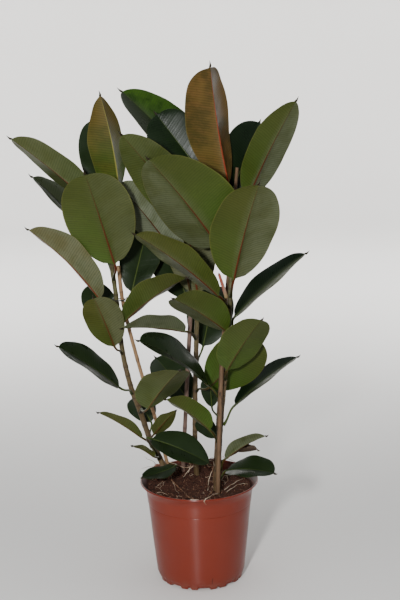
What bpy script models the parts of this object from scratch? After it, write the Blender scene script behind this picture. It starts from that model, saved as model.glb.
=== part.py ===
"""Potted rubber plant: a plastic container of soil, three tied stems and their large leathery leaves.

Frame: origin at the centre of the pot's underside, on the surface it stands on, +Z up, front towards -Y.
Units: metres.  The hand-laid tables of stems and leaves are in centimetres and go through cm().
"""

import math
from collections import namedtuple

import bmesh
import bpy
from mathutils import Vector

# Driving dimensions of the pot
POT_HEIGHT = 0.230
RIM_RADIUS = 0.1345
NECK_RADIUS = 0.1210
NECK_HEIGHT = 0.205
STEP_HEIGHT = 0.180
STEP_DEPTH = 0.0010
HEEL_RADIUS = 0.1010
HEEL_HEIGHT = 0.020
HEEL_CURVE = 0.010
WALL = 0.0022
FLOOR_THICKNESS = 0.0030
FLOOR_CENTRE_RADIUS = 0.022

# The rim: how far out it stands at its foot and below its top, as parts of its overhang
RIM_FOOT_PART = 0.25
RIM_FOOT_RISE = 0.010
RIM_SHOULDER_PART = 0.80
RIM_SHOULDER_DROP = 0.0060
RIM_EDGE_DROP = 0.0025
RIM_TOP_INSET = 0.0020
RIM_INNER_INSET = 0.0042
RIM_INNER_DROP = 0.0030

# Feet moulded into the pot's underside, in pairs around the rim of the base
FOOT_PAIRS = 9
FOOT_HEIGHT = 0.005
FOOT_ANGLE = 11.5
NOTCH_ANGLE = 2.5
FOOT_FLANK = 1.2
FIRST_FOOT = -119.0
FOOT_OUTER_RADIUS = 0.092
FOOT_INNER_RADIUS = 0.074
FOOT_SLOPE = 0.003
FOOT_CHAMFER = 0.004
HEEL_INSET = 0.0025
CENTRE_PAD_RADIUS = 0.030
CENTRE_PAD_SLOPE = 0.004
DRAIN_HOLES = 9
DRAIN_RADIUS = 0.005
DRAIN_CIRCLE = 0.055
DRAIN_SIDES = 10
CUTTER_OVERSHOOT = 0.003

# Soil
SOIL_EDGE_HEIGHT = 0.213
SOIL_GAP = 0.0004
MOUND_CENTRE = Vector((-0.075, 0.040))
MOUND_HEIGHT = 0.034
MOUND_SPREAD = 0.036
SOIL_RINGS = 5

# What stands in the soil reaches this far into it, in sockets with a little room around
BURIED = 0.030
SOCKET_ROOM = 0.0005
ROD_SIDES = 8
ROD_STEPS = 2
ROOT_SIDES = 6
ROOT_STEPS = 3
ROOT_GAP = 0.0008

# Leaves
BLADE_THICKNESS = 0.0012
MIDRIB_DEPTH = 0.0022
PETIOLE_RADIUS = 0.0020
PETIOLE_GAP = 0.0020
PETIOLE_RINGS = 3
PETIOLE_PULL = 0.35
PETIOLE_OUT = 0.6
PETIOLE_RISE = 0.8
LEAF_SIDES = 8
BASE_ROUNDNESS = 0.55
BLADE_STATIONS = (0.04, 0.16, 0.35, 0.56, 0.76, 0.92)
DRIP_STATION = 0.985
DRIP_HALF_WIDTH = 0.003
DRIP_LENGTH = 0.005
TIP_RADIUS = 0.0006

# Colours (linear) and finish: colour, roughness
FINISHES = {
    "pot": ((0.28, 0.052, 0.030, 1), 0.45),
    "soil": ((0.040, 0.022, 0.015, 1), 0.95),
    "root": ((0.45, 0.36, 0.26, 1), 0.80),
    "stem": ((0.13, 0.11, 0.035, 1), 0.60),
    "stake": ((0.40, 0.28, 0.17, 1), 0.70),
    "tie": ((0.02, 0.02, 0.02, 1), 0.60),
    "leaf": ((0.05, 0.09, 0.03, 1), 0.30),
    "sheath": ((0.40, 0.10, 0.07, 1), 0.45),
    "dry": ((0.16, 0.07, 0.03, 1), 0.80),
}

# Stems: the points that each one grows through, and its radius at the soil and at the top (cm)
STEMS = {
    "left": (((-7.6, 2.0, 23.8), (-9.2, 1.8, 28.0), (-11.0, 1.4, 32.0), (-13.2, 0.9, 39.5),
              (-14.8, 0.3, 44.5), (-16.2, -0.4, 51.5), (-16.9, -0.8, 58.0), (-17.3, -1.3, 65.0),
              (-18.0, -1.9, 73.0), (-18.1, -2.4, 79.5), (-18.0, -2.8, 85.5)), 0.70, 0.40),
    "middle": (((-0.6, 6.0, 22.0), (-0.8, 5.4, 30.5), (-0.4, 4.6, 45.0), (0.2, 3.8, 59.0),
                (0.3, 3.6, 64.0)), 0.68, 0.44),
    "right": (((3.8, -3.6, 21.3), (4.3, -3.8, 28.0), (4.9, -3.8, 36.0), (5.6, -3.6, 43.0),
               (6.6, -3.4, 52.0), (7.5, -3.3, 64.0), (7.9, -3.1, 74.0), (8.0, -3.0, 82.0),
               (7.9, -2.7, 88.5)), 0.72, 0.40),
}

# Stakes: the points that each one passes through and its radius (cm)
STAKES = {
    "stake_left": (((-7.0, 3.9, 23.6), (-9.6, 3.0, 36.0), (-12.3, 2.0, 46.5), (-14.9, 1.0, 58.0),
                    (-16.2, 0.1, 65.5), (-16.7, -0.4, 72.5)), 0.42),
    "stake_middle": (((-3.7, 6.2, 23.4), (-3.1, 5.3, 33.0), (-2.3, 4.6, 45.0), (-1.3, 3.6, 59.0),
                      (-0.9, 3.3, 66.0)), 0.48),
    "stake_right": (((3.4, 1.6, 21.6), (4.9, 0.8, 42.0), (6.6, 0.0, 63.0), (9.0, -1.2, 88.0),
                     (9.5, -1.6, 93.5)), 0.36),
    "stake_short": (((4.1, -5.7, 21.3), (4.6, -5.6, 34.0), (5.0, -5.8, 43.0), (5.5, -5.6, 52.0)), 0.50),
}

# Surface roots: the points that each one passes through, its radius at the start and at the end (cm)
ROOTS = {
    "root_left": (((-6.3, -1.5, 23.3), (-4.8, -3.4, 22.4), (-3.4, -5.6, 21.9), (-2.4, -8.2, 21.8),
                   (-1.4, -10.6, 22.2)), 0.24, 0.12),
    "root_front": (((2.0, -1.6, 21.9), (2.9, -5.2, 21.9), (2.0, -8.0, 21.9),
                    (2.4, -10.8, 22.2)), 0.26, 0.12),
}

# Leaves by the stem that carries them.  One leaf: the height where its stalk leaves the stem, the base
# and the tip of the blade, its width, the direction that its glossy side looks in, how far the midrib
# bows towards that side, the angle that each half lifts by, and how pointed the tip is.
# Centimetres and degrees.
Leaf = namedtuple("Leaf", "height base tip width glossy bow fold point")

LEAVES = {
    "right": (
        Leaf(86.0, (7.5, -2.0, 90.0), (4.0, -5.0, 115.5), 14.5, (-1.0, 1.0, 0.2), 0.6, 26, 0.60),
        Leaf(84.5, (11.8, -1.5, 87.0), (21.9, -8.0, 108.0), 9.2, (-0.3, 1.0, 0.4), 0.8, 12, 0.60),
        Leaf(85.5, (8.2, 2.0, 87.6), (15.2, 9.5, 103.0), 11.5, (0.2, -1.0, 0.5), 1.0, 14, 0.60),
        Leaf(84.0, (4.0, 3.5, 89.5), (-16.0, 8.5, 110.5), 12.5, (0.3, -0.8, 0.6), 1.2, 25, 0.65),
        Leaf(82.5, (4.5, -1.0, 88.5), (-8.0, 2.0, 105.5), 12.0, (0.0, -1.0, 0.35), 0.8, 10, 0.45),
        Leaf(74.0, (5.3, -6.0, 77.2), (-9.4, -12.0, 96.9), 16.6, (0.3, 1.0, 0.6), 0.8, 8, 0.60),
        Leaf(76.0, (3.5, -4.0, 78.0), (-15.0, -9.5, 102.0), 11.5, (0.1, 1.0, 0.3), 0.8, 10, 0.65),
        Leaf(66.0, (8.3, -7.0, 70.2), (13.6, -14.0, 91.5), 15.0, (-0.3, 1.0, 0.3), 0.8, 8, 0.55),
        Leaf(63.5, (5.0, -6.0, 66.5), (-12.7, -12.0, 81.3), 8.8, (0.1, 0.7, 0.7), 1.0, 24, 0.60),
        Leaf(58.0, (8.4, -4.2, 61.3), (24.3, -5.0, 75.5), 9.0, (-0.7, -0.3, 0.7), 0.6, 16, 0.70),
        Leaf(56.0, (6.5, -7.0, 59.0), (-4.8, -14.0, 67.8), 11.0, (0.1, 0.7, 0.7), 0.6, 18, 0.50),
        Leaf(47.5, (6.6, -7.0, 50.3), (14.1, -12.0, 62.6), 10.4, (-0.3, 1.0, 0.5), 0.6, 10, 0.50),
        Leaf(42.5, (2.5, -7.0, 46.8), (-12.5, -14.0, 59.0), 12.5, (0.2, -0.3, 1.0), 1.3, 14, 0.55),
        Leaf(37.0, (8.3, -4.0, 41.4), (23.0, 2.0, 50.8), 8.0, (-0.6, -0.2, 0.8), 0.6, 14, 0.60),
        Leaf(37.5, (3.2, 2.0, 39.3), (2.8, 8.5, 44.5), 4.6, (0.0, -1.0, 0.6), 0.6, 12, 0.50),
        Leaf(33.0, (2.6, -7.2, 36.8), (-7.0, -12.0, 45.5), 8.0, (0.0, 0.5, 0.9), 0.6, 24, 0.55),
        Leaf(31.0, (3.8, -1.3, 33.0), (0.0, 3.0, 36.0), 4.2, (0.0, -1.0, 0.8), 0.4, 12, 0.50),
        Leaf(26.5, (6.0, -5.5, 29.5), (15.0, -8.0, 35.5), 6.5, (0.0, 0.5, 0.9), 0.6, 20, 0.50),
        Leaf(24.5, (6.2, -4.2, 26.2), (16.7, -11.5, 28.0), 8.0, (0.0, -0.35, 0.9), 0.8, 14, 0.55),
        Leaf(71.0, (10.0, 1.5, 74.5), (14.5, 12.0, 86.5), 11.0, (0.0, -1.0, 0.6), 1.0, 12, 0.55),
    ),
    "middle": (
        Leaf(61.0, (0.5, 2.0, 65.5), (-2.5, 1.5, 88.0), 11.5, (0.0, 1.0, 0.1), 0.8, 10, 0.60),
        Leaf(62.5, (-3.5, -1.0, 74.0), (-16.2, -5.5, 91.5), 11.0, (0.1, 1.0, 0.4), 0.8, 24, 0.60),
        Leaf(60.5, (-2.0, 5.5, 64.0), (-8.5, 11.0, 80.0), 10.5, (0.0, -1.0, 0.4), 1.0, 12, 0.55),
        Leaf(55.0, (-2.5, -0.5, 57.5), (-15.9, -11.2, 60.9), 9.0, (0.0, 0.6, 0.8), 0.6, 20, 0.55),
        Leaf(42.5, (2.7, 0.0, 44.5), (14.2, -2.8, 56.2), 12.0, (0.05, 1.0, 0.1), -0.2, 8, 0.50),
        Leaf(49.0, (1.5, 8.0, 52.0), (5.0, 16.5, 65.0), 11.0, (0.0, -1.0, 0.6), 1.0, 12, 0.55),
        Leaf(36.0, (-2.0, 8.5, 38.5), (-10.0, 15.0, 48.0), 9.0, (0.1, -0.8, 0.8), 1.0, 12, 0.55),
    ),
    "left": (
        Leaf(84.4, (-16.1, -0.3, 89.3), (-19.2, -4.2, 109.9), 10.6, (-0.9, 1.0, 0.2), -0.9, 28, 0.80),
        Leaf(83.0, (-18.9, 1.4, 87.5), (-20.9, 7.6, 104.5), 10.0, (0.1, -1.0, 0.3), 0.8, 12, 0.50),
        Leaf(82.0, (-20.5, -4.0, 85.5), (-38.0, -8.0, 101.3), 9.0, (0.0, 0.6, 0.8), 0.6, 22, 0.60),
        Leaf(74.0, (-20.0, -3.5, 77.0), (-34.5, -4.0, 93.0), 10.5, (0.5, -0.25, 0.8), 0.6, 14, 0.60),
        Leaf(70.0, (-17.0, -7.0, 74.0), (-22.0, -14.0, 94.3), 15.0, (0.0, 1.0, 0.1), 0.6, 8, 0.50),
        Leaf(61.5, (-14.0, -0.2, 66.5), (-9.0, 10.5, 85.0), 10.0, (0.0, -1.0, 0.3), 1.0, 12, 0.55),
        Leaf(63.0, (-20.5, -5.0, 66.0), (-35.0, -10.0, 82.5), 10.5, (0.2, 0.6, 0.8), 1.2, 30, 0.55),
        Leaf(58.0, (-15.5, -5.0, 61.0), (-1.5, -8.0, 71.0), 9.5, (-0.2, 0.6, 0.8), 1.0, 26, 0.60),
        Leaf(55.5, (-18.5, 1.0, 58.0), (-24.0, 6.5, 67.5), 7.5, (0.0, -1.0, 0.5), 0.6, 12, 0.50),
        Leaf(53.0, (-17.8, -5.0, 55.5), (-21.6, -9.2, 67.5), 8.6, (0.0, 1.0, 0.4), 0.4, 8, 0.50),
        Leaf(43.5, (-17.0, -6.0, 46.5), (-30.0, -9.0, 57.0), 9.5, (0.0, -0.3, 1.0), 0.5, 14, 0.55),
        Leaf(39.0, (-10.8, -8.6, 42.4), (-3.4, -15.2, 52.7), 12.0, (-0.6, 1.0, 0.5), 0.5, 12, 0.55),
        Leaf(33.0, (-10.8, 4.0, 35.4), (-14.8, 9.5, 39.9), 6.5, (0.0, -1.0, 0.8), 0.5, 12, 0.50),
        Leaf(30.5, (-12.6, -2.8, 33.9), (-22.0, -6.0, 41.0), 4.4, (0.0, 0.5, 0.9), 0.4, 30, 0.60),
        Leaf(32.0, (-9.9, -2.4, 34.5), (-4.7, -7.0, 41.4), 3.8, (0.0, 1.0, 0.3), 0.3, 12, 0.95),
        Leaf(27.5, (-10.0, -4.5, 30.0), (-14.5, -8.5, 34.0), 4.0, (0.0, 0.3, 1.0), 0.3, 14, 0.55),
        Leaf(28.4, (-10.3, -6.0, 34.6), (2.6, -9.5, 29.7), 8.2, (0.0, -0.5, 0.9), 0.8, 14, 0.75),
        Leaf(25.5, (-5.4, -2.2, 26.8), (-12.7, -7.2, 26.2), 5.8, (0.0, -0.35, 1.0), -0.3, 12, 0.50),
        Leaf(70.5, (-19.5, 2.5, 74.0), (-25.0, 12.5, 88.0), 11.5, (0.0, -1.0, 0.6), 1.0, 12, 0.55),
    ),
}

# The dried scale of an old bud, still held by the right stem
DRY_SCALE = Leaf(28.0, (9.0, -3.0, 29.9), (13.3, -3.8, 30.6), 2.6, (0.0, -0.2, 1.0), 0.4, 50, 0.60)

# The closed bud sheath beside the right stem: foot, tip and radius (cm)
SHEATH_FOOT = (6.7, -4.2, 65.8)
SHEATH_TIP = (5.1, -5.9, 71.5)
SHEATH_RADIUS = 0.46
SHEATH_SIDES = 8

# The sheath's outline: part of its length, and part of its full radius there
SHEATH_OUTLINE = ((0.0, 0.45), (0.12, 0.85), (0.35, 1.0), (0.6, 0.8), (0.85, 0.4), (1.0, 0.08))

# The tie around the left stem and its stake (cm)
TIE_HEIGHT = 65.0
TIE_SLACK = 0.10
TIE_THICKNESS = 0.16
TIE_SIDES = 6
TIE_TURN_POINTS = 6


def cm(values):
    """A point of the hand-laid tables, in metres."""
    return Vector(values) * 0.01


# ---------------------------------------------------------------- common tools


def clear_scene():
    for thing in list(bpy.data.objects):
        bpy.data.objects.remove(thing, do_unlink=True)


def finish_material(key):
    material = bpy.data.materials.get(key)
    if material is None:
        colour, roughness = FINISHES[key]
        material = bpy.data.materials.new(key)
        material.use_nodes = True
        shader = material.node_tree.nodes["Principled BSDF"]
        shader.inputs["Base Color"].default_value = colour
        shader.inputs["Roughness"].default_value = roughness
        shader.inputs["Metallic"].default_value = 0.0
    return material


def loft(name, rings, finish, crease_angle=40, closed=False):
    """One closed body through rings of points.  It ends in two flat caps, or joins up when closed."""
    shape = bmesh.new()
    columns = [[shape.verts.new(point) for point in ring] for ring in rings]
    around = len(rings[0])
    following = columns[1:] + columns[:1] if closed else columns[1:]
    for lower, upper in zip(columns, following):
        for k in range(around):
            n = (k + 1) % around
            shape.faces.new((lower[k], lower[n], upper[n], upper[k]))
    if not closed:
        shape.faces.new(list(reversed(columns[0])))
        shape.faces.new(columns[-1])
    bmesh.ops.recalc_face_normals(shape, faces=shape.faces)
    mesh = bpy.data.meshes.new(name)
    shape.to_mesh(mesh)
    shape.free()
    mesh.shade_smooth()
    mesh.set_sharp_from_angle(angle=math.radians(crease_angle))
    body = bpy.data.objects.new(name, mesh)
    body.data.materials.append(finish_material(finish))
    bpy.context.scene.collection.objects.link(body)
    return body


def cut(body, cutter):
    """Subtract the cutter from the body, and keep the cutter as a hidden guide."""
    cutter.hide_render = True
    cutter.display_type = "WIRE"
    boolean = body.modifiers.new("cut_" + cutter.name, "BOOLEAN")
    boolean.operation = "DIFFERENCE"
    boolean.object = cutter


def smooth_path(points, steps):
    """Points on the smooth curve through the given points, with a number of steps for each span."""
    ends = [points[0] * 2 - points[1]] + list(points) + [points[-1] * 2 - points[-2]]
    path = []
    for a, b, c, d in zip(ends, ends[1:], ends[2:], ends[3:]):
        for k in range(steps):
            t = k / steps
            path.append(0.5 * (2 * b + (c - a) * t + (2 * a - 5 * b + 4 * c - d) * t ** 2
                               + (3 * b - a - 3 * c + d) * t ** 3))
    path.append(points[-1].copy())
    return path


def circle(centre, across, up, radius, sides):
    """A ring of points around the centre, in the plane of the two directions."""
    ring = []
    for k in range(sides):
        turn = 2 * math.pi * k / sides
        ring.append(centre + (across * math.cos(turn) + up * math.sin(turn)) * radius)
    return ring


def tube_rings(path, radii, sides):
    """Rings along a path, kept from twisting."""
    across = Vector((1, 0, 0))
    rings = []
    for k, point in enumerate(path):
        along = (path[min(k + 1, len(path) - 1)] - path[max(k - 1, 0)]).normalized()
        across = (across - along * across.dot(along)).normalized()
        rings.append(circle(point, across, along.cross(across), radii[k], sides))
    return rings


# ---------------------------------------------------------------- pot and soil


def turn_angles():
    """Angles of the pot's columns, with the flag of those that end in a foot."""
    period = 360 / FOOT_PAIRS
    marks = []
    for start in (0, FOOT_ANGLE + NOTCH_ANGLE):
        marks += [(start, 0), (start + FOOT_FLANK, 1)]
        marks += [(start + FOOT_ANGLE - FOOT_FLANK, 1), (start + FOOT_ANGLE, 0)]
    angles = []
    for pair in range(FOOT_PAIRS):
        for mark, foot in marks:
            angles.append((math.radians(FIRST_FOOT + pair * period + mark), foot))
    return angles


def turned_ring(radius, height, foot_height=None):
    """A ring of the pot.  foot_height replaces the height in the columns that end in a foot."""
    ring = []
    for angle, foot in turn_angles():
        z = foot_height if foot and foot_height is not None else height
        ring.append(Vector((radius * math.cos(angle), radius * math.sin(angle), z)))
    return ring


def outer_radius(height):
    """Radius of the pot's tapered wall, from the heel to the neck."""
    rise = (height - HEEL_HEIGHT) / (NECK_HEIGHT - HEEL_HEIGHT)
    return HEEL_RADIUS + (NECK_RADIUS - HEEL_RADIUS) * min(max(rise, 0), 1)


def inner_radius(height):
    """Radius of the pot's inner wall."""
    if height > NECK_HEIGHT:
        return NECK_RADIUS - WALL
    return outer_radius(height) - WALL - STEP_DEPTH


def pot_underside():
    """Rings of the underside, from the centre pad across the feet to the heel."""
    return [
        turned_ring(CENTRE_PAD_RADIUS, 0.0),
        turned_ring(CENTRE_PAD_RADIUS + CENTRE_PAD_SLOPE, FOOT_HEIGHT),
        turned_ring(FOOT_INNER_RADIUS - FOOT_SLOPE, FOOT_HEIGHT),
        turned_ring(FOOT_INNER_RADIUS, FOOT_HEIGHT, 0.0),
        turned_ring(FOOT_OUTER_RADIUS - FOOT_CHAMFER, FOOT_HEIGHT, 0.0),
        turned_ring(FOOT_OUTER_RADIUS + FOOT_CHAMFER * 0.5, FOOT_HEIGHT * 1.4, FOOT_HEIGHT * 0.5),
        turned_ring(HEEL_RADIUS - HEEL_INSET, HEEL_HEIGHT * 0.60, HEEL_HEIGHT * 0.45),
        turned_ring(HEEL_RADIUS, HEEL_HEIGHT),
    ]


def pot_rim():
    """Rings of the rim, from the step in the wall over the top to the foot of its inner side."""
    overhang = RIM_RADIUS - NECK_RADIUS
    rim_foot = NECK_RADIUS + overhang * RIM_FOOT_PART
    wall_at_step = outer_radius(STEP_HEIGHT)
    return [
        turned_ring(wall_at_step - STEP_DEPTH, STEP_HEIGHT - STEP_DEPTH),
        turned_ring(wall_at_step, STEP_HEIGHT),
        turned_ring(NECK_RADIUS, NECK_HEIGHT),
        turned_ring(rim_foot, NECK_HEIGHT + RIM_FOOT_RISE),
        turned_ring(NECK_RADIUS + overhang * RIM_SHOULDER_PART, POT_HEIGHT - RIM_SHOULDER_DROP),
        turned_ring(RIM_RADIUS, POT_HEIGHT - RIM_EDGE_DROP),
        turned_ring(RIM_RADIUS - RIM_TOP_INSET, POT_HEIGHT),
        turned_ring(RIM_RADIUS - RIM_INNER_INSET, POT_HEIGHT - RIM_INNER_DROP),
        turned_ring(rim_foot - WALL, NECK_HEIGHT + RIM_FOOT_RISE),
    ]


def drain_cutter(number, inner_floor):
    """A short cylinder through the pot's floor."""
    angle = 2 * math.pi * (number - 0.5) / DRAIN_HOLES
    centre = Vector((math.cos(angle), math.sin(angle), 0)) * DRAIN_CIRCLE
    across = Vector((1, 0, 0))
    deep = Vector((0, 1, 0))
    rings = []
    for z in (FOOT_HEIGHT - CUTTER_OVERSHOOT, inner_floor + CUTTER_OVERSHOOT):
        rings.append(circle(centre + Vector((0, 0, z)), across, deep, DRAIN_RADIUS, DRAIN_SIDES))
    return loft("drain_cutter_%d" % number, rings, "pot")


def make_pot():
    inner_floor = FOOT_HEIGHT + FLOOR_THICKNESS
    inside = [
        turned_ring(inner_radius(NECK_HEIGHT), NECK_HEIGHT),
        turned_ring(inner_radius(HEEL_HEIGHT), HEEL_HEIGHT),
        turned_ring(FOOT_INNER_RADIUS + HEEL_CURVE, inner_floor),
        turned_ring(FLOOR_CENTRE_RADIUS, inner_floor),
    ]
    pot = loft("pot", pot_underside() + pot_rim() + inside, "pot", 30)
    for number in range(1, DRAIN_HOLES + 1):
        cut(pot, drain_cutter(number, inner_floor))


def soil_height(x, y):
    """Height of the soil's surface: level, with a mound around the foot of the left stem."""
    away = (Vector((x, y)) - MOUND_CENTRE).length
    return SOIL_EDGE_HEIGHT + MOUND_HEIGHT * math.exp(-(away / MOUND_SPREAD) ** 2)


def make_soil(sockets):
    floor = FOOT_HEIGHT + FLOOR_THICKNESS + SOIL_GAP
    edge = inner_radius(SOIL_EDGE_HEIGHT) - SOIL_GAP
    rings = [
        turned_ring(FLOOR_CENTRE_RADIUS, floor),
        turned_ring(FOOT_INNER_RADIUS + HEEL_CURVE - SOIL_GAP * 2, floor),
        turned_ring(inner_radius(HEEL_HEIGHT) - SOIL_GAP, HEEL_HEIGHT + SOIL_GAP),
    ]
    for k in range(SOIL_RINGS):
        radius = edge * (1 - k / SOIL_RINGS)
        ring = turned_ring(radius, SOIL_EDGE_HEIGHT)
        for point in ring:
            point.z = soil_height(point.x, point.y) if k else SOIL_EDGE_HEIGHT
        rings.append(ring)
    soil = loft("soil", rings, "soil", 60)
    for socket in sockets:
        cut(soil, socket)


# ---------------------------------------------------------------- stems, stakes, roots


def planted(points):
    """The path with a straight end below its first point, which stands in the soil."""
    return [points[0] - Vector((0, 0, BURIED))] + points


def tapered(start, end, count):
    """Radii in centimetres along a rod, as metres."""
    return [0.01 * (start + (end - start) * k / (count - 1)) for k in range(count)]


def make_rod(name, points, radius, top_radius, finish):
    """A planted rod, and the cutter for its socket in the soil.  The radii are in centimetres."""
    path = smooth_path(planted([cm(point) for point in points]), ROD_STEPS)
    loft(name, tube_rings(path, tapered(radius, top_radius, len(path)), ROD_SIDES), finish)
    below = path[0] - Vector((0, 0, SOCKET_ROOM))
    socket_path = [below] + path[1:2 * ROD_STEPS + 2]
    socket_radii = [0.01 * radius + SOCKET_ROOM] * len(socket_path)
    return loft("socket_" + name, tube_rings(socket_path, socket_radii, ROD_SIDES), "soil")


def make_stems():
    return [make_rod("stem_" + name, points, radius, top_radius, "stem")
            for name, (points, radius, top_radius) in STEMS.items()]


def make_stakes():
    return [make_rod(name, points, radius, radius, "stake")
            for name, (points, radius) in STAKES.items()]


def make_roots():
    for name, (points, radius, end_radius) in ROOTS.items():
        path = smooth_path([cm(point) for point in points], ROOT_STEPS)
        for point in path:
            point.z = max(point.z, soil_height(point.x, point.y) + radius * 0.01 + ROOT_GAP)
        loft(name, tube_rings(path, tapered(radius, end_radius, len(path)), ROOT_SIDES), "root")


# ---------------------------------------------------------------- leaves


def point_at_height(points, height):
    """The point at a height on the smooth curve through a table's points."""
    path = smooth_path([cm(point) for point in points], ROD_STEPS)
    for lower, upper in zip(path, path[1:]):
        if lower.z <= height <= upper.z:
            return lower.lerp(upper, (height - lower.z) / (upper.z - lower.z))
    raise ValueError("nothing at the height %.3f" % height)


def stem_point(name, height):
    """Centre of a stem and its radius at a height."""
    points, radius, top_radius = STEMS[name]
    foot = 0.01 * points[0][2] - BURIED
    rise = (height - foot) / (0.01 * points[-1][2] - foot)
    return point_at_height(points, height), 0.01 * (radius + (top_radius - radius) * rise)


def half_width(leaf, t):
    """Half of the blade's width at the part t of its length."""
    peak = BASE_ROUNDNESS / (BASE_ROUNDNESS + leaf.point)
    top = peak ** BASE_ROUNDNESS * (1 - peak) ** leaf.point
    return 0.01 * leaf.width / 2 * t ** BASE_ROUNDNESS * (1 - t) ** leaf.point / top


def blade_ring(centre, side, glossy, half, fold):
    """Eight points around a folded blade: its two margins and three points on each face."""
    lift = glossy * math.sin(fold)
    flat = side * math.cos(fold)
    skin = glossy * (BLADE_THICKNESS / 2)
    right = (flat + lift) * half
    left = (lift - flat) * half
    return [
        centre + right,
        centre + right * 0.5 + skin,
        centre + skin,
        centre + left * 0.5 + skin,
        centre + left,
        centre + left * 0.5 - skin,
        centre - glossy * MIDRIB_DEPTH,
        centre + right * 0.5 - skin,
    ]


def petiole_rings(stem, leaf, along, side):
    """Rings of the stalk, which leaves the stem outwards and upwards and runs into the blade."""
    base = cm(leaf.base)
    centre, radius = stem_point(stem, 0.01 * leaf.height)
    out = base - centre
    out.z = 0
    out.normalize()
    foot = centre + out * (radius + PETIOLE_GAP)
    pull = (base - foot).length * PETIOLE_PULL
    start_pull = foot + (out * PETIOLE_OUT + Vector((0, 0, PETIOLE_RISE))) * pull
    end_pull = base - along * pull
    rings = []
    for k in range(PETIOLE_RINGS):
        t = k / PETIOLE_RINGS
        point = (foot * (1 - t) ** 3 + start_pull * 3 * t * (1 - t) ** 2
                 + end_pull * 3 * t ** 2 * (1 - t) + base * t ** 3)
        heading = ((start_pull - foot) * (1 - t) ** 2 + (end_pull - start_pull) * 2 * t * (1 - t)
                   + (base - end_pull) * t ** 2).normalized()
        across = (side - heading * side.dot(heading)).normalized()
        rings.append(circle(point, across, across.cross(heading), PETIOLE_RADIUS, LEAF_SIDES))
    return rings


def leaf_rings(stem, leaf):
    """Rings of a whole leaf: its stalk, its folded and bowed blade, and its drip tip."""
    base = cm(leaf.base)
    tip = cm(leaf.tip)
    along = (tip - base).normalized()
    glossy = Vector(leaf.glossy)
    glossy = (glossy - along * glossy.dot(along)).normalized()
    side = along.cross(glossy)
    fold = math.radians(leaf.fold)
    rings = petiole_rings(stem, leaf, along, side)
    for t in BLADE_STATIONS + (DRIP_STATION,):
        bow = 0.01 * leaf.bow * 4 * t * (1 - t)
        half = max(half_width(leaf, t), DRIP_HALF_WIDTH)
        rings.append(blade_ring(base.lerp(tip, t) + glossy * bow, side, glossy, half, fold))
    rings.append(circle(tip + along * DRIP_LENGTH, side, glossy, TIP_RADIUS, LEAF_SIDES))
    return rings


def make_leaves():
    for stem, leaves in LEAVES.items():
        for number, leaf in enumerate(leaves, 1):
            loft("leaf_%s_%02d" % (stem, number), leaf_rings(stem, leaf), "leaf", 50)
    loft("dry_scale", leaf_rings("right", DRY_SCALE), "dry", 50)


# ---------------------------------------------------------------- sheath and tie


def make_sheath():
    foot = cm(SHEATH_FOOT)
    tip = cm(SHEATH_TIP)
    path = [foot.lerp(tip, t) for t, _ in SHEATH_OUTLINE]
    radii = [0.01 * SHEATH_RADIUS * swell for _, swell in SHEATH_OUTLINE]
    loft("sheath", tube_rings(path, radii, SHEATH_SIDES), "sheath")


def tie_loop(stem, stake, room):
    """Points around the stem and the stake: a half turn around each, joined by straight runs."""
    along = stake - stem
    along.z = 0
    along.normalize()
    across = Vector((-along.y, along.x, 0))
    loop = []
    for centre, first in ((stake, -90), (stem, 90)):
        for k in range(TIE_TURN_POINTS):
            turn = math.radians(first + 180 * k / (TIE_TURN_POINTS - 1))
            loop.append(centre + (along * math.cos(turn) + across * math.sin(turn)) * room)
    return loop


def make_tie():
    """A closed loop of soft tie, drawn around the left stem and its stake."""
    height = 0.01 * TIE_HEIGHT
    stem, stem_radius = stem_point("left", height)
    stake = point_at_height(STAKES["stake_left"][0], height)
    middle = (stem + stake) / 2
    room = stem_radius + 0.01 * (TIE_SLACK + TIE_THICKNESS / 2)
    up = Vector((0, 0, 1))
    rings = []
    for point in tie_loop(stem, stake, room):
        outward = (point - middle).normalized()
        rings.append(circle(point, outward, up, 0.01 * TIE_THICKNESS / 2, TIE_SIDES))
    loft("tie_left", rings, "tie", closed=True)


def main():
    clear_scene()
    make_pot()
    sockets = make_stems() + make_stakes()
    make_soil(sockets)
    make_roots()
    make_leaves()
    make_sheath()
    make_tie()


main()
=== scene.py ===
"""Potted rubber plant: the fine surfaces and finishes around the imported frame.

Every leaf, stem, stake and root is read back from its own node of the frame, ring by ring, and lofted
again with its veins, folds and bark.  Units: metres, +Z up, the plant's front towards -Y.
"""

import math
import random

import bmesh
import bpy
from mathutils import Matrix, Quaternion, Vector, noise


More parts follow.
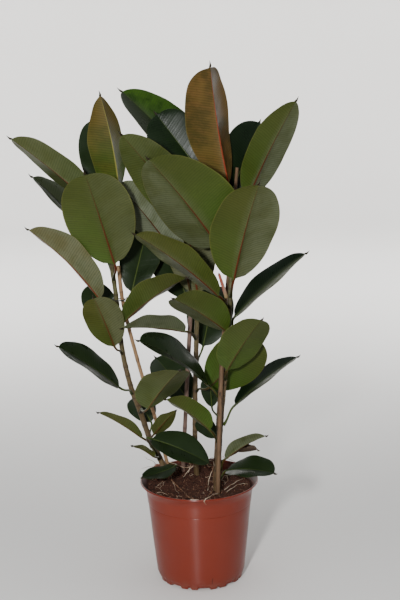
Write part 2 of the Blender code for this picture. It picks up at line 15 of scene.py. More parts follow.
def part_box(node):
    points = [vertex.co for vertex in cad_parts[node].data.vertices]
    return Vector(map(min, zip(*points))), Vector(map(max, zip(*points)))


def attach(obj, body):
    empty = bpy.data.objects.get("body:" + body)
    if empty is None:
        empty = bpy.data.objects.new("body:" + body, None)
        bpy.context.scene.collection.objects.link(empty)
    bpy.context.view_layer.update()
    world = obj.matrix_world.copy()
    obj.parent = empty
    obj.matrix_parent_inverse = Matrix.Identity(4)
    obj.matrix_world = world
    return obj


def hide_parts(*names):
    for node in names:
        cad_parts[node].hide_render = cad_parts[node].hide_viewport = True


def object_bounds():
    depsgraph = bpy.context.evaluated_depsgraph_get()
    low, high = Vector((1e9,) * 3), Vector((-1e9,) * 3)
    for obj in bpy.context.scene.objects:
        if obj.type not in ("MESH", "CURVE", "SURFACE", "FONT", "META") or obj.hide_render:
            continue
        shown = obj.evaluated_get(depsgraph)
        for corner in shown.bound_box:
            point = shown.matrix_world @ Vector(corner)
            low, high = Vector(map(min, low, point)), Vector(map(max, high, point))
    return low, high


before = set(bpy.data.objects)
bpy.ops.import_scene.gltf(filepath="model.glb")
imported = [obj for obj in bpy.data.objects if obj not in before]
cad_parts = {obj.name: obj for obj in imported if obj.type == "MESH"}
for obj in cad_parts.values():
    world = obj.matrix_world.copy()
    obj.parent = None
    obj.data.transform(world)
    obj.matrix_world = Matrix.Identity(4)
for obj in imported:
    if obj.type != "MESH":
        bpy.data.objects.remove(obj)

CAD_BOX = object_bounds()
MERGE_DISTANCE = 1e-6
CENTIMETRE = 0.01
UP = Vector((0, 0, 1))


def box(node):
    """The lowest and the highest corner of a node of the frame."""
    return [Vector(corner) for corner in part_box(node)]


# ---------------------------------------------------------------- sizes

# The pot's profile, as the frame has it, but with feet that reach further out
POT_LOW, POT_HIGH = box("pot")
POT_HEIGHT = POT_HIGH.z
RIM_RADIUS = (POT_HIGH.x - POT_LOW.x) / 2
NECK_RADIUS = RIM_RADIUS - 0.0135
NECK_HEIGHT = POT_HEIGHT - 0.025
STEP_HEIGHT = POT_HEIGHT - 0.050
HEEL_RADIUS = 0.1010
HEEL_HEIGHT = 0.020
WALL = 0.0022
FLOOR_HEIGHT = 0.008
FOOT_HEIGHT = 0.005
FOOT_INNER = 0.074
FOOT_OUTER = 0.0945
FOOT_PAIRS = 9
FOOT_ANGLE = 11.5
NOTCH_ANGLE = 2.5
FOOT_FLANK = 1.9
FIRST_FOOT = -119.0
DRAIN_HOLES = 9
DRAIN_RADIUS = 0.005
DRAIN_CIRCLE = 0.055
DRAIN_SIDES = 20
PAD_RADIUS = 0.030
POT_COLUMNS = 360

# The soil's surface.  It stays low and level where water is poured.
SOIL_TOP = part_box("soil")[1][2]
SOIL_LEVEL = 0.2130
SOIL_RADIUS = NECK_RADIUS - WALL - 0.0014
WATER_MIDDLE = (0.050, 0.055)
WATER_HALF = (0.036, 0.021)
WATER_DIP = -0.0024
HEAPS = (
    (Vector((-0.093, 0.040)), 0.036, SOIL_TOP - SOIL_LEVEL - 0.002),
    (Vector((-0.045, 0.090)), 0.040, 0.019),
    (Vector((0.028, 0.104)), 0.019, 0.019),
)

# How the frame makes its leaves, rods and roots: points around, and parts of the blade where rings stand
LEAF_SIDES = 8
BLADE_STATIONS = (0.04, 0.16, 0.35, 0.56, 0.76, 0.92, 0.985)
MIDDLE_STATION = 0.56
BASE_ROUNDNESS = 0.55
MIDRIB_DEPTH = 0.0022
ROD_SIDES = 8
ROOT_SIDES = 6

# How fine a leaf is made here
BLADE_STEPS = 58
STALK_STEPS = 9
SPIKE_STEPS = 6
HALF_STEPS = 13
RIB_STEPS = (0.0009, 0.0018, 0.0032)
STALK_RADIUS = 0.0024
SPIKE_RADIUS = 0.0030
BLADE_THICKNESS = 0.0010
BLADE_END = 0.962
BLUNTNESS = 0.85
VEIN_SLANT = 0.38
STRONG_VEINS = 0.0054
FINE_VEINS = 0.0021

# Leaves that have an outline of their own
BLUNT_TIPS = {"right_01": 0.62, "right_02": 1.0}
LOPSIDED = {"right_06": (1.0, 1.24), "left_18": (0.58, 1.0)}
BROAD_BASES = {"right_06": 0.38, "right_12": 0.45}

# How a leaf looks: bronze, green glow, grey sheen painted on its faces in place of reflected light, and the
# half that takes the painted sheen
PLAIN_LOOK = (0.10, 0.15, 0.05, 0)
LOOKS = {
    "right_01": (1.00, 0.20, 0.00, -1),
    "right_02": (0.00, 0.55, 0.55, -1),
    "right_03": (0.00, 0.05, 0.00, 0),
    "right_04": (0.00, 1.00, 0.22, -1),
    "right_05": (0.00, 0.10, 0.00, 0),
    "right_06": (0.00, 0.80, 0.40, 1),
    "right_07": (0.00, 0.80, 0.10, 0),
    "right_08": (0.05, 0.50, 0.45, -1),
    "right_09": (0.05, 0.30, 0.50, 1),
    "right_10": (0.00, 0.00, 0.95, 1),
    "right_11": (0.00, 0.55, 0.30, 1),
    "right_12": (0.00, 0.60, 0.05, 0),
    "right_14": (0.00, 0.00, 0.60, 1),
    "right_16": (0.00, 0.75, 0.20, 1),
    "right_18": (0.10, 0.25, 0.60, 0),
    "middle_01": (0.20, 0.00, 0.35, 0),
    "middle_02": (0.00, 0.25, 1.00, 0),
    "middle_04": (0.05, 0.30, 0.65, 0),
    "middle_05": (0.00, 0.90, 0.00, 0),
    "left_01": (0.75, 0.90, 0.00, 0),
    "left_03": (0.05, 0.45, 0.25, 0),
    "left_04": (0.10, 0.10, 0.40, 0),
    "left_05": (0.00, 0.60, 0.15, -1),
    "left_07": (0.35, 0.10, 0.50, 0),
    "left_08": (0.05, 0.45, 0.05, 0),
    "left_10": (0.10, 0.30, 0.30, -1),
    "left_12": (0.10, 0.40, 0.20, 0),
}

# How a leaf arches across, waves at its margins and curls up or down at them
PLAIN_SHAPE = (0.025, 0.0020, 0.00)
SHAPES = {
    "right_01": (0.045, 0.0030, -0.05),
    "right_02": (0.040, 0.0025, 0.03),
    "right_08": (0.040, 0.0030, -0.03),
    "right_09": (0.040, 0.0025, -0.04),
    "left_01": (0.040, 0.0030, -0.04),
    "left_05": (0.030, 0.0030, -0.02),
}

# Loose roots on and above the soil: the points that each one passes through (cm), its radius (m), its wander
LOOSE_ROOTS = (
    (((-7.9, 5.0, 25.6), (-7.3, 4.0, 25.8), (-5.2, 3.6, 25.1), (-3.8, 3.0, 24.7), (-2.6, 2.6, 24.7),
      (-1.6, 3.0, 24.9), (-0.8, 3.6, 24.6)), 0.0013, 0.0005),
    (((-2.2, 3.0, 25.8), (-2.0, 2.9, 25.0), (-2.3, 2.8, 24.1), (-3.2, 2.9, 22.9), (-3.6, 2.6, 22.4)),
     0.0012, 0.0004),
    (((-1.4, 3.0, 24.8), (-2.2, 2.8, 24.2), (-2.5, 2.6, 23.4)), 0.0009, 0.0004),
    (((1.9, 1.2, 26.5), (2.3, 1.0, 26.8), (3.0, 0.8, 26.9), (3.4, 0.5, 26.4), (3.4, 0.3, 25.7),
      (3.0, 0.1, 24.7), (2.5, 0.0, 23.6), (2.1, -0.4, 22.1), (2.0, -2.2, 21.8), (1.9, -4.7, 21.8)),
     0.0014, 0.0004),
    (((2.1, 1.2, 26.4), (1.9, 1.0, 25.8), (2.4, 0.9, 25.4), (3.0, 0.8, 25.8)), 0.0010, 0.0006),
    (((-7.1, 5.5, 22.6), (-6.5, 3.2, 22.4), (-5.6, -2.0, 21.8), (-4.7, -6.1, 21.8)), 0.0009, 0.0012),
    (((5.6, -4.4, 21.8), (7.0, -1.8, 21.8), (8.9, 1.2, 21.8), (10.1, 2.4, 21.8)), 0.0010, 0.0008),
    (((6.2, -5.5, 21.8), (8.1, -2.5, 21.9), (9.9, -0.7, 21.8), (11.0, -1.2, 21.8)), 0.0008, 0.0010),
    (((5.2, 1.8, 21.9), (5.7, 3.1, 22.2), (6.4, 2.7, 22.5), (6.5, 0.5, 22.2), (5.8, -0.8, 21.8)),
     0.0008, 0.0006),
    (((-2.7, -10.9, 21.9), (-1.4, -11.1, 22.3), (0.1, -11.0, 22.1), (1.0, -10.6, 22.0)), 0.0010, 0.0010),
    (((-9.4, -5.4, 21.9), (-8.4, -6.0, 22.1), (-7.6, -6.6, 22.0), (-7.0, -7.2, 21.9)), 0.0008, 0.0004),
    (((-9.9, -2.0, 21.9), (-8.9, -3.6, 22.1), (-8.4, -4.6, 21.9)), 0.0007, 0.0004),
    (((4.2, -6.9, 22.0), (3.2, -9.9, 22.9), (2.2, -12.2, 23.3), (1.4, -13.2, 23.2), (0.9, -13.7, 22.8)),
     0.0010, 0.0006),
    (((1.3, -13.1, 23.3), (1.1, -13.65, 22.6), (1.5, -13.6, 22.0)), 0.0008, 0.0003),
)

# Clumps of short roots: their middle (m), how far they spread and how many there are
CLUMPS = (((-0.104, 0.036), 0.022, 150), ((-0.086, 0.024), 0.022, 50), ((0.026, 0.100), 0.014, 40))
CLUMP_LIMIT = 0.122

# Hair roots that stand out over the rim: from and to (cm)
HAIRS = (
    ((-9.8, 3.0, 25.2), (-12.4, 1.6, 27.8)), ((-9.0, 2.0, 25.2), (-13.0, -1.0, 26.0)),
    ((5.4, -3.6, 29.4), (9.8, -4.0, 26.6)), ((6.4, -1.0, 26.2), (11.4, -4.4, 24.8)),
    ((8.2, -2.0, 25.6), (12.6, -5.0, 23.2)),
)
SHORT_ROOTS = 38

# Strewn over the soil: name, number for each square metre, seed, smallest and largest half sizes
CRUMBS = ("soil_crumbs", 90000, 11, (0.0006, 0.0006, 0.0004), (0.0022, 0.0019, 0.0015))
CHIPS = ("bark_chips", 9000, 23, (0.0010, 0.0006, 0.0003), (0.0040, 0.0018, 0.0010))


# ---------------------------------------------------------------- small tools


def smooth(value, low, high):
    """0 below low, 1 above high, and an even curve between them."""
    t = min(max((value - low) / (high - low), 0.0), 1.0)
    return t * t * (3 - 2 * t)


def tint(*screen):
    """A colour given as it looks on a screen, 0 to 255, as linear values."""
    parts = [value / 255 for value in screen]
    linear = [part / 12.92 if part <= 0.04045 else ((part + 0.055) / 1.055) ** 2.4 for part in parts]
    return (*linear, 1.0)


def read_rings(name, sides, rank):
    """The rings of points that a lofted node is made of, from the one that ranks lowest."""
    shape = bmesh.new()
    shape.from_mesh(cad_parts[name].data)
    bmesh.ops.remove_doubles(shape, verts=shape.verts, dist=MERGE_DISTANCE)
    points = [vert.co for vert in shape.verts]
    layer = sorted(shape.verts, key=lambda vert: rank(vert.co, points))[:sides]
    seen = set(layer)
    rings = []
    while layer:
        rings.append([vert.co.copy() for vert in layer])
        following = []
        for vert in layer:
            for edge in vert.link_edges:
                other = edge.other_vert(vert)
                if other not in seen:
                    seen.add(other)
                    following.append(other)
        layer = following
    shape.free()
    return rings


def lowest(point, _):
    return point.z


def foremost(point, _):
    return point.y


def tightest(point, points):
    """Small for a point in the tight ring at a leaf's tip."""
    return sorted((point - other).length_squared for other in points)[LEAF_SIDES - 1]


def centre_of(ring):
    return sum(ring, Vector()) / len(ring)


def circle(radius, height, sides):
    """Points on a level circle round the pot's axis."""
    turns = [math.tau * k / sides for k in range(sides)]
    return [Vector((radius * math.cos(turn), radius * math.sin(turn), height)) for turn in turns]


def spline(points, steps):
    """Points on the smooth curve through the given points, with a number of steps for each span."""
    ends = [points[0] * 2 - points[1]] + list(points) + [points[-1] * 2 - points[-2]]
    path = []
    for a, b, c, d in zip(ends, ends[1:], ends[2:], ends[3:]):
        for t in (k / steps for k in range(steps)):
            path.append(0.5 * (2 * b + (c - a) * t + (2 * a - 5 * b + 4 * c - d) * t ** 2
                               + (3 * b - a - 3 * c + d) * t ** 3))
    path.append(points[-1].copy())
    return path


def inside_box(point):
    """The same point, kept inside the frame's box."""
    return Vector(min(max(value, low), high) for value, low, high in zip(point, *CAD_BOX))


def add_object(name, mesh):
    thing = bpy.data.objects.new(name, mesh)
    bpy.context.scene.collection.objects.link(thing)
    return thing


def declare(thing, slot, *nodes):
    """Put a finished piece under the root body and hide the nodes that it stands for.  The slot is not used.
    """
    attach(thing, "root")
    if nodes:
        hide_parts(*nodes)


def bridge(shape, lower, upper):
    """Faces between two rings of a shape's points."""
    around = len(lower)
    for k in range(around):
        n = (k + 1) % around
        shape.faces.new((lower[k], lower[n], upper[n], upper[k]))


def to_mesh(name, shape):
    """A finished bmesh as a smooth mesh, with its faces outwards."""
    bmesh.ops.recalc_face_normals(shape, faces=shape.faces)
    for face in shape.faces:
        face.smooth = True
    mesh = bpy.data.meshes.new(name)
    shape.to_mesh(mesh)
    shape.free()
    return mesh


def loft(name, rings):
    """A closed surface through rings of points, with a point in the middle of each end."""
    shape = bmesh.new()
    columns = [[shape.verts.new(point) for point in ring] for ring in rings]
    around = len(rings[0])
    for lower, upper in zip(columns, columns[1:]):
        bridge(shape, lower, upper)
    for ring, flip in ((columns[0], True), (columns[-1], False)):
        middle = shape.verts.new(centre_of([vert.co for vert in ring]))
        for k in range(around):
            n = (k + 1) % around
            corners = (ring[n], ring[k], middle) if flip else (ring[k], ring[n], middle)
            shape.faces.new(corners)
    return to_mesh(name, shape)


def store(mesh, name, values):
    """A number for each point of a mesh, which its material reads."""
    mesh.attributes.new(name, "FLOAT", "POINT").data.foreach_set("value", values)


def plain_mesh(thing):
    """The mesh that an object's modifiers make of it.  The modifiers are removed."""
    depsgraph = bpy.context.evaluated_depsgraph_get()
    mesh = bpy.data.meshes.new_from_object(thing.evaluated_get(depsgraph))
    thing.modifiers.clear()
    return mesh


# ---------------------------------------------------------------- nodes


def join(tree, socket, value):
    if isinstance(value, bpy.types.NodeSocket):
        tree.links.new(value, socket)
    else:
        socket.default_value = value


def add_node(tree, kind, inputs=None, **settings):
    """A new node.  Each of its inputs takes a plain value or another node's output."""
    node = tree.nodes.new(kind)
    for key, value in settings.items():
        setattr(node, key, value)
    for key, value in (inputs or {}).items():
        join(tree, node.inputs[key], value)
    return node


class Graph:
    """A material's nodes, joined as they are added, and the colour that they have made so far."""

    def __init__(self, name):
        self.material = bpy.data.materials.new(name)
        self.material.use_nodes = True
        self.tree = self.material.node_tree
        self.shader = self.tree.nodes["Principled BSDF"]
        self.place = self.add("TexCoord").outputs["Object"]
        self.colour = None

    def add(self, kind, inputs=None, **settings):
        return add_node(self.tree, "ShaderNode" + kind, inputs, **settings)

    def attribute(self, name, output="Fac"):
        return self.add("Attribute", attribute_name=name).outputs[output]

    def noise(self, scale, detail=3.0, place=None):
        inputs = {"Vector": place or self.place, "Scale": scale, "Detail": detail, "Roughness": 0.55}
        return self.add("TexNoise", inputs).outputs["Fac"]

    def cells(self, scale, place=None):
        return self.add("TexVoronoi", {"Vector": place or self.place, "Scale": scale}).outputs["Distance"]

    def math(self, operation, *values):
        return self.add("Math", dict(enumerate(values)), operation=operation).outputs[0]

    def plus(self, first, second):
        return self.math("ADD", first, second)

    def times(self, first, *others):
        for other in others:
            first = self.math("MULTIPLY", first, other)
        return first

    def waves(self, value, length):
        return self.math("SINE", self.times(value, math.tau / length))

    def remap(self, value, low, high, to_low=0.0, to_high=1.0):
        """An even curve from to_low, where the value is low, to to_high, where it is high."""
        inputs = {"Value": value, "From Min": low, "From Max": high, "To Min": to_low, "To Max": to_high}
        return self.add("MapRange", inputs, interpolation_type="SMOOTHSTEP").outputs["Result"]

    def mix(self, share, first, second):
        """The first colour with a share of the second.  A plain colour is three screen values."""
        first, second = (tint(*colour) if isinstance(colour, tuple) else colour for colour in (first, second))
        return self.add("Mix", {0: share, 6: first, 7: second}, data_type="RGBA").outputs[2]

    def coat(self, share, colour):
        """Lay a share of a colour over the ones so far."""
        self.colour = self.mix(share, self.colour, colour)

    def stretched(self, *scale):
        return self.add("Mapping", {"Vector": self.place, "Scale": scale}).outputs["Vector"]

    def split(self, vector):
        return self.add("SeparateXYZ", {"Vector": vector}).outputs

    def height(self):
        return self.split(self.place)[2]

    def bump(self, relief, distance, strength=1.0, under=None):
        inputs = {"Height": relief, "Distance": distance, "Strength": strength}
        if under:
            inputs["Normal"] = under
        return self.add("Bump", inputs).outputs["Normal"]

    def finish(self, roughness, normal=None, **fixed):
        """Join the shader's inputs.  The fixed ones are set on their own sockets."""
        inputs = self.shader.inputs
        join(self.tree, inputs["Base Color"], self.colour)
        join(self.tree, inputs["Roughness"], roughness)
        if normal:
            join(self.tree, inputs["Normal"], normal)
        for key, value in fixed.items():
            inputs[key.replace("_", " ").title().replace("Ior", "IOR")].default_value = value
        return self.material


def new_tree(name, **inputs):
    """A geometry tree with inputs of the given kinds, and the outputs of its source node."""
    tree = bpy.data.node_groups.new(name, "GeometryNodeTree")
    for label, kind in {"Geometry": "Geometry", **inputs}.items():
        tree.interface.new_socket(label, in_out="INPUT", socket_type="NodeSocket" + kind)
    tree.interface.new_socket("Geometry", in_out="OUTPUT", socket_type="NodeSocketGeometry")
    return tree, tree.nodes.new("NodeGroupInput").outputs


def end_tree(tree, source, made):
    """Make the instances real, give them their finish and send them out."""
    real = add_node(tree, "GeometryNodeRealizeInstances", {"Geometry": made})
    finish = add_node(tree, "GeometryNodeSetMaterial", {"Geometry": real.outputs["Geometry"],
                                                        "Material": source["Finish"]})
    add_node(tree, "NodeGroupOutput", {"Geometry": finish.outputs["Geometry"]})
    return tree


def tubes_tree():
    """Edges with a radius at each point become closed tubes."""
    tree, source = new_tree("tubes_along_paths", Sides="Int", Finish="Material")
    curve = add_node(tree, "GeometryNodeMeshToCurve", {"Mesh": source["Geometry"]})
    thick = add_node(tree, "GeometryNodeInputNamedAttribute", {"Name": "thick"}, data_type="FLOAT")
    profile = add_node(tree, "GeometryNodeCurvePrimitiveCircle",
                       {"Radius": 1.0, "Resolution": source["Sides"]}, mode="RADIUS")
    tube = add_node(tree, "GeometryNodeCurveToMesh",
                    {"Curve": curve.outputs["Curve"], "Profile Curve": profile.outputs["Curve"],
                     "Scale": thick.outputs["Attribute"], "Fill Caps": True})
    return end_tree(tree, source, tube.outputs["Mesh"])


def crumbs_tree():
    """Small uneven lumps strewn over a surface."""
    tree, source = new_tree("crumbs_on_surface", Density="Float", Seed="Int", Smallest="Vector",
                            Largest="Vector", Finish="Material")
    seed = source["Seed"]
    strewn = add_node(tree, "GeometryNodeDistributePointsOnFaces",
                      {"Mesh": source["Geometry"], "Density": source["Density"], "Seed": seed})
    lump = add_node(tree, "GeometryNodeMeshIcoSphere", {"Radius": 1.0, "Subdivisions": 1})
    scale = add_node(tree, "FunctionNodeRandomValue",
                     {"Min": source["Smallest"], "Max": source["Largest"], "Seed": seed},
                     data_type="FLOAT_VECTOR")
    turn = add_node(tree, "FunctionNodeRandomValue", {"Max": (math.tau, math.tau, math.tau), "Seed": seed},
                    data_type="FLOAT_VECTOR")
    lumps = add_node(tree, "GeometryNodeInstanceOnPoints",
                     {"Points": strewn.outputs["Points"], "Instance": lump.outputs["Mesh"],
                      "Scale": scale.outputs["Value"], "Rotation": turn.outputs["Value"]})
    return end_tree(tree, source, lumps.outputs["Instances"])


def grow(name, guide, tree, **values):
    """Run a geometry tree on a mesh and keep the result as a plain mesh."""
    source = add_object(name + "_guide", guide)
    modifier = source.modifiers.new(tree.name, "NODES")
    modifier.node_group = tree
    for item in tree.interface.items_tree:
        if item.in_out == "INPUT" and item.name in values:
            modifier[item.identifier] = values[item.name]
    made = plain_mesh(source)
    made.name = name
    bpy.data.objects.remove(source)
    made.polygons.foreach_set("use_smooth", [True] * len(made.polygons))
    return add_object(name, made)


def grow_tubes(name, paths, sides, finish, tree, slot, *nodes):
    """A piece of closed tubes: points and radii for each of its paths."""
    points = []
    edges = []
    radii = []
    for path, thick in paths:
        first = len(points)
        points += path
        radii += thick
        edges += [(first + k, first + k + 1) for k in range(len(path) - 1)]
    guide = bpy.data.meshes.new(name + "_guide")
    guide.from_pydata(points, edges, [])
    store(guide, "thick", radii)
    declare(grow(name, guide, tree, Sides=sides, Finish=finish), slot, *nodes)


# ---------------------------------------------------------------- finishes


def side_veins(graph):
    """The fine parallel side veins: strong ones alone, and all of them with weaker ones between."""
    line = graph.plus(graph.attribute("vein"), graph.times(graph.noise(22.0, 2.0), 0.006))
    strong, weak = (graph.remap(graph.waves(line, length), 0.0, 1.0) for length in (STRONG_VEINS, FINE_VEINS))
    return strong, graph.plus(graph.times(strong, 0.65), graph.times(weak, 0.35))


def vein_clouds(graph, along, across):
    """Soft patches drawn out along the side veins."""
    place = graph.add("CombineXYZ", {"X": graph.times(graph.attribute("vein"), along),
                                     "Y": graph.times(graph.attribute("across"), across),
                                     "Z": graph.height()})
    return graph.noise(1.0, 3.0, place.outputs["Vector"])


def look_of(graph):
    """How bronze, how green and how much painted grey sheen this part of the leaf has."""
    return graph.add("SeparateColor", {"Color": graph.attribute("look", "Color")}).outputs


def margin_of(graph, along, inner, share):
    """The thin light margin of a blade, which fades out before the tip."""
    edge = graph.remap(graph.attribute("edge"), *inner)
    return graph.times(edge, graph.remap(along, 1.00, 0.97), share)


def leaf_under():
    """Satin underside: olive to bronze, greener towards the stalk, a painted grey sheen, a red-brown midrib,
    a light margin.
    """
    graph = Graph("leaf_underside")
    warm, glow, pale = look_of(graph)
    along = graph.attribute("along")
    veins = side_veins(graph)[1]
    clouds = graph.noise(13.0)
    bands = vein_clouds(graph, 26.0, 1.3)
    olive = graph.mix(clouds, (48, 54, 20), (63, 67, 28))
    bronze = graph.mix(clouds, (84, 66, 32), (100, 75, 37))
    mottle = graph.remap(graph.noise(15.0, 2.0), 0.45, 0.64, 0.0, 0.70)
    bronze = graph.mix(mottle, bronze, (56, 47, 22))
    streaks = graph.remap(vein_clouds(graph, 70.0, 2.5), 0.45, 0.65, 0.0, 0.45)
    bronze = graph.mix(streaks, bronze, (98, 70, 38))
    graph.colour = graph.mix(warm, olive, bronze)
    near_stalk = graph.remap(along, 0.85, 0.05, 0.15, 1.0)
    graph.coat(graph.times(near_stalk, graph.remap(bands, 0.30, 0.62, 0.75, 1.0), glow), (54, 78, 22))
    # Painted sheen: grey bands along the veins on one half, reflected light painted into the colour.
    graph.coat(graph.times(pale, graph.remap(bands, 0.35, 0.62, 0.5, 1.0)), (98, 104, 84))
    graph.coat(graph.times(veins, 0.44), (28, 36, 12))
    graph.coat(graph.times(graph.remap(graph.noise(150.0, 2.0), 0.55, 0.80), 0.25), (38, 36, 18))
    graph.coat(margin_of(graph, along, (0.955, 0.995), 0.32), (104, 102, 50))
    red = graph.times(graph.remap(along, 0.95, 0.0, 0.2, 1.0),
                      graph.remap(graph.height(), 0.48, 0.74, 0.15, 1.0))
    midrib = graph.mix(red, (56, 50, 24), (74, 32, 16))
    midrib = graph.mix(warm, midrib, (120, 44, 20))
    midrib = graph.mix(graph.remap(graph.times(warm, glow), 0.45, 0.60), midrib, (128, 124, 62))
    midrib = graph.mix(graph.remap(along, -0.15, -0.8), midrib, (40, 40, 18))
    graph.coat(graph.remap(graph.attribute("rib"), 0.30, 0.75), midrib)
    graph.coat(graph.remap(along, 0.985, 1.10), (36, 30, 18))
    normal = graph.bump(graph.noise(420.0, 2.0), 0.00006, 0.5, graph.bump(veins, 0.00025, 0.7))
    return graph.finish(graph.remap(bands, 0.3, 0.7, 0.34, 0.50), normal, ior=1.20)


def leaf_top():
    """Glossy upper side: very dark blue-green with a painted grey sheen, fine lighter side veins and a light
    green midrib.
    """
    graph = Graph("leaf_upper_side")
    _, glow, pale = look_of(graph)
    along = graph.attribute("along")
    strong, veins = side_veins(graph)
    bands = vein_clouds(graph, 30.0, 1.5)
    deep = graph.mix(graph.noise(16.0), (6, 14, 8), (13, 24, 12))
    bright = graph.mix(graph.remap(bands, 0.32, 0.60), (31, 53, 8), (43, 69, 10))
    graph.colour = graph.mix(glow, deep, bright)
    # Painted sheen: a grey share on one half, reflected light painted into the colour.
    graph.coat(graph.times(pale, 0.85), (92, 96, 76))
    graph.coat(graph.times(strong, 0.34), (26, 42, 18))
    graph.coat(graph.remap(graph.cells(800.0), 0.0, 0.16, 0.20, 0.0), (66, 76, 54))
    graph.coat(margin_of(graph, along, (0.965, 0.998), 0.35), (80, 84, 44))
    graph.coat(graph.remap(graph.attribute("rib"), 0.45, 0.90), (58, 70, 30))
    graph.coat(graph.remap(along, 0.985, 1.10), (36, 30, 18))
    normal = graph.bump(graph.noise(300.0, 2.0), 0.00005, 0.3, graph.bump(veins, -0.00022, 0.6))
    return graph.finish(graph.remap(bands, 0.3, 0.7, 0.26, 0.38), normal, ior=1.24)


def bark():
    """Young bark: green-brown with lengthways streaks, pale corky specks and darker leaf scars."""
    graph = Graph("green_brown_bark")
    streaks = graph.noise(9.0, 4.0, graph.stretched(24, 24, 1.6))
    specks = graph.remap(graph.cells(260.0, graph.stretched(1, 1, 0.6)), 0.0, 0.30, 1.0, 0.0)
    woody = graph.mix(streaks, (56, 42, 25), (98, 80, 50))
    green = graph.mix(streaks, (52, 56, 27), (86, 88, 44))
    graph.colour = graph.mix(graph.remap(graph.height(), 0.40, 0.80), woody, green)
    graph.coat(graph.remap(graph.noise(30.0), 0.5, 0.72, 0.0, 0.55), (58, 38, 26))
    graph.coat(graph.times(specks, 0.50), (138, 120, 88))
    graph.coat(graph.times(graph.attribute("scar"), 0.75), (40, 28, 20))
    relief = graph.plus(graph.times(streaks, 0.7), graph.times(specks, 0.5))
    rough = graph.remap(streaks, 0.3, 0.7, 0.48, 0.66)
    return graph.finish(rough, graph.bump(relief, 0.0006, 0.7), specular_ior_level=0.4)


def cane(name, light, dark, fleck):
    """Dry cane: straight grain, dark flecks and stained patches."""
    graph = Graph(name)
    grain = graph.noise(12.0, 4.0, graph.stretched(42, 42, 1.4))
    patches = graph.noise(22.0, 3.0, graph.stretched(1, 1, 0.5))
    flecks = graph.remap(graph.noise(120.0, 3.0, graph.stretched(1, 1, 0.35)), 0.60, 0.70)
    graph.colour = graph.mix(grain, dark, light)
    graph.coat(graph.remap(patches, 0.52, 0.72, 0.0, 0.5), dark)
    graph.coat(graph.times(flecks, 0.8), fleck)
    graph.coat(graph.times(graph.attribute("scar"), 0.6), fleck)
    rough = graph.remap(grain, 0.3, 0.7, 0.55, 0.75)
    return graph.finish(rough, graph.bump(grain, 0.0004, 0.8), specular_ior_level=0.3)


def pot_plastic():
    """Satin terracotta-coloured plastic: faint moulding rings, smears, dust, painted shade inside the rim and
    one scuff.
    """
    graph = Graph("terracotta_plastic")
    height = graph.height()
    graph.colour = graph.mix(graph.noise(11.0), (104, 36, 22), (110, 40, 25))
    smears = graph.noise(16.0, 5.0, graph.stretched(1, 1, 0.35))
    graph.coat(graph.remap(smears, 0.60, 0.80, 0.0, 0.06), (150, 88, 68))
    dust = graph.times(graph.remap(height, 0.035, 0.0), graph.remap(graph.noise(60.0, 4.0), 0.4, 0.65))
    graph.coat(graph.times(dust, 0.30), (110, 86, 72))
    crumbs = graph.times(graph.remap(height, 0.214, 0.228), graph.remap(graph.cells(300.0), 0.22, 0.05))
    graph.coat(graph.times(crumbs, 0.6), (46, 28, 20))
    # The inner wall near the rim is darkened: painted shade inside the pot.
    facing = graph.add("NewGeometry").outputs["Normal"]
    level = graph.add("VectorMath", {0: graph.place, 1: (1.0, 1.0, 0.0)}, operation="MULTIPLY")
    inward = graph.add("VectorMath", {0: facing, 1: level.outputs[0]}, operation="DOT_PRODUCT")
    painted_inner_shade = graph.remap(inward.outputs["Value"], -0.02, -0.09, 0.0, 0.75)
    graph.coat(graph.times(painted_inner_shade, graph.remap(height, 0.233, 0.226)), (46, 25, 18))
    scuff = graph.add("Mapping", {"Vector": graph.place, "Location": (-0.0255, 0.0950, -0.024)})
    side, depth, rise = graph.split(scuff.outputs["Vector"])
    bend = graph.math("SUBTRACT", graph.plus(side, graph.times(graph.noise(90.0, 2.0), 0.006)), 0.003)
    near, tall, front = (graph.remap(graph.math("ABSOLUTE", away), *reach) for away, reach in (
        (bend, (0.0016, 0.0004)), (rise, (0.010, 0.004)), (depth, (0.016, 0.010))))
    graph.coat(graph.times(near, tall, front, 0.85), (44, 20, 14))
    relief = graph.plus(graph.times(graph.waves(height, 0.0009), 0.12), graph.noise(240.0))
    around = graph.add("Tangent", direction_type="RADIAL", axis="Z").outputs["Tangent"]
    join(graph.tree, graph.shader.inputs["Tangent"], around)
    rough = graph.remap(graph.noise(30.0, 4.0), 0.3, 0.7, 0.30, 0.36)
    return graph.finish(rough, graph.bump(relief, 0.00010, 0.40), specular_ior_level=0.30,
                        anisotropic=0.95, anisotropic_rotation=0.25)


def potting_soil(name, dark, light):
    """Crumbly soil, fully rough, with pale and reddish bits in it and painted shade in its hollows."""
    graph = Graph(name)
    lumps = graph.noise(90.0, 5.0)
    grains = graph.noise(460.0)
    graph.colour = graph.mix(lumps, dark, light)
    graph.coat(graph.remap(grains, 0.58, 0.72, 0.0, 0.75), (112, 72, 54))
    graph.coat(graph.remap(graph.cells(210.0), 0.14, 0.04, 0.0, 0.8), (168, 132, 108))
    # Near black where the lumps that the bump raises are lowest: painted shade in the hollows.
    graph.coat(graph.remap(lumps, 0.46, 0.30, 0.0, 0.85), (22, 14, 12))
    relief = graph.plus(lumps, graph.times(grains, 0.5))
    return graph.finish(0.95, graph.bump(relief, 0.0022), specular_ior_level=0.15)


def fibre(name, light, dark, rough=0.75):
    """Dry root or fibre, paler in places."""
    graph = Graph(name)
    graph.colour = graph.mix(graph.remap(graph.noise(70.0, 4.0), 0.38, 0.62), dark, light)
    return graph.finish(rough, graph.bump(graph.noise(500.0, 2.0), 0.0003, 0.8), specular_ior_level=0.3)


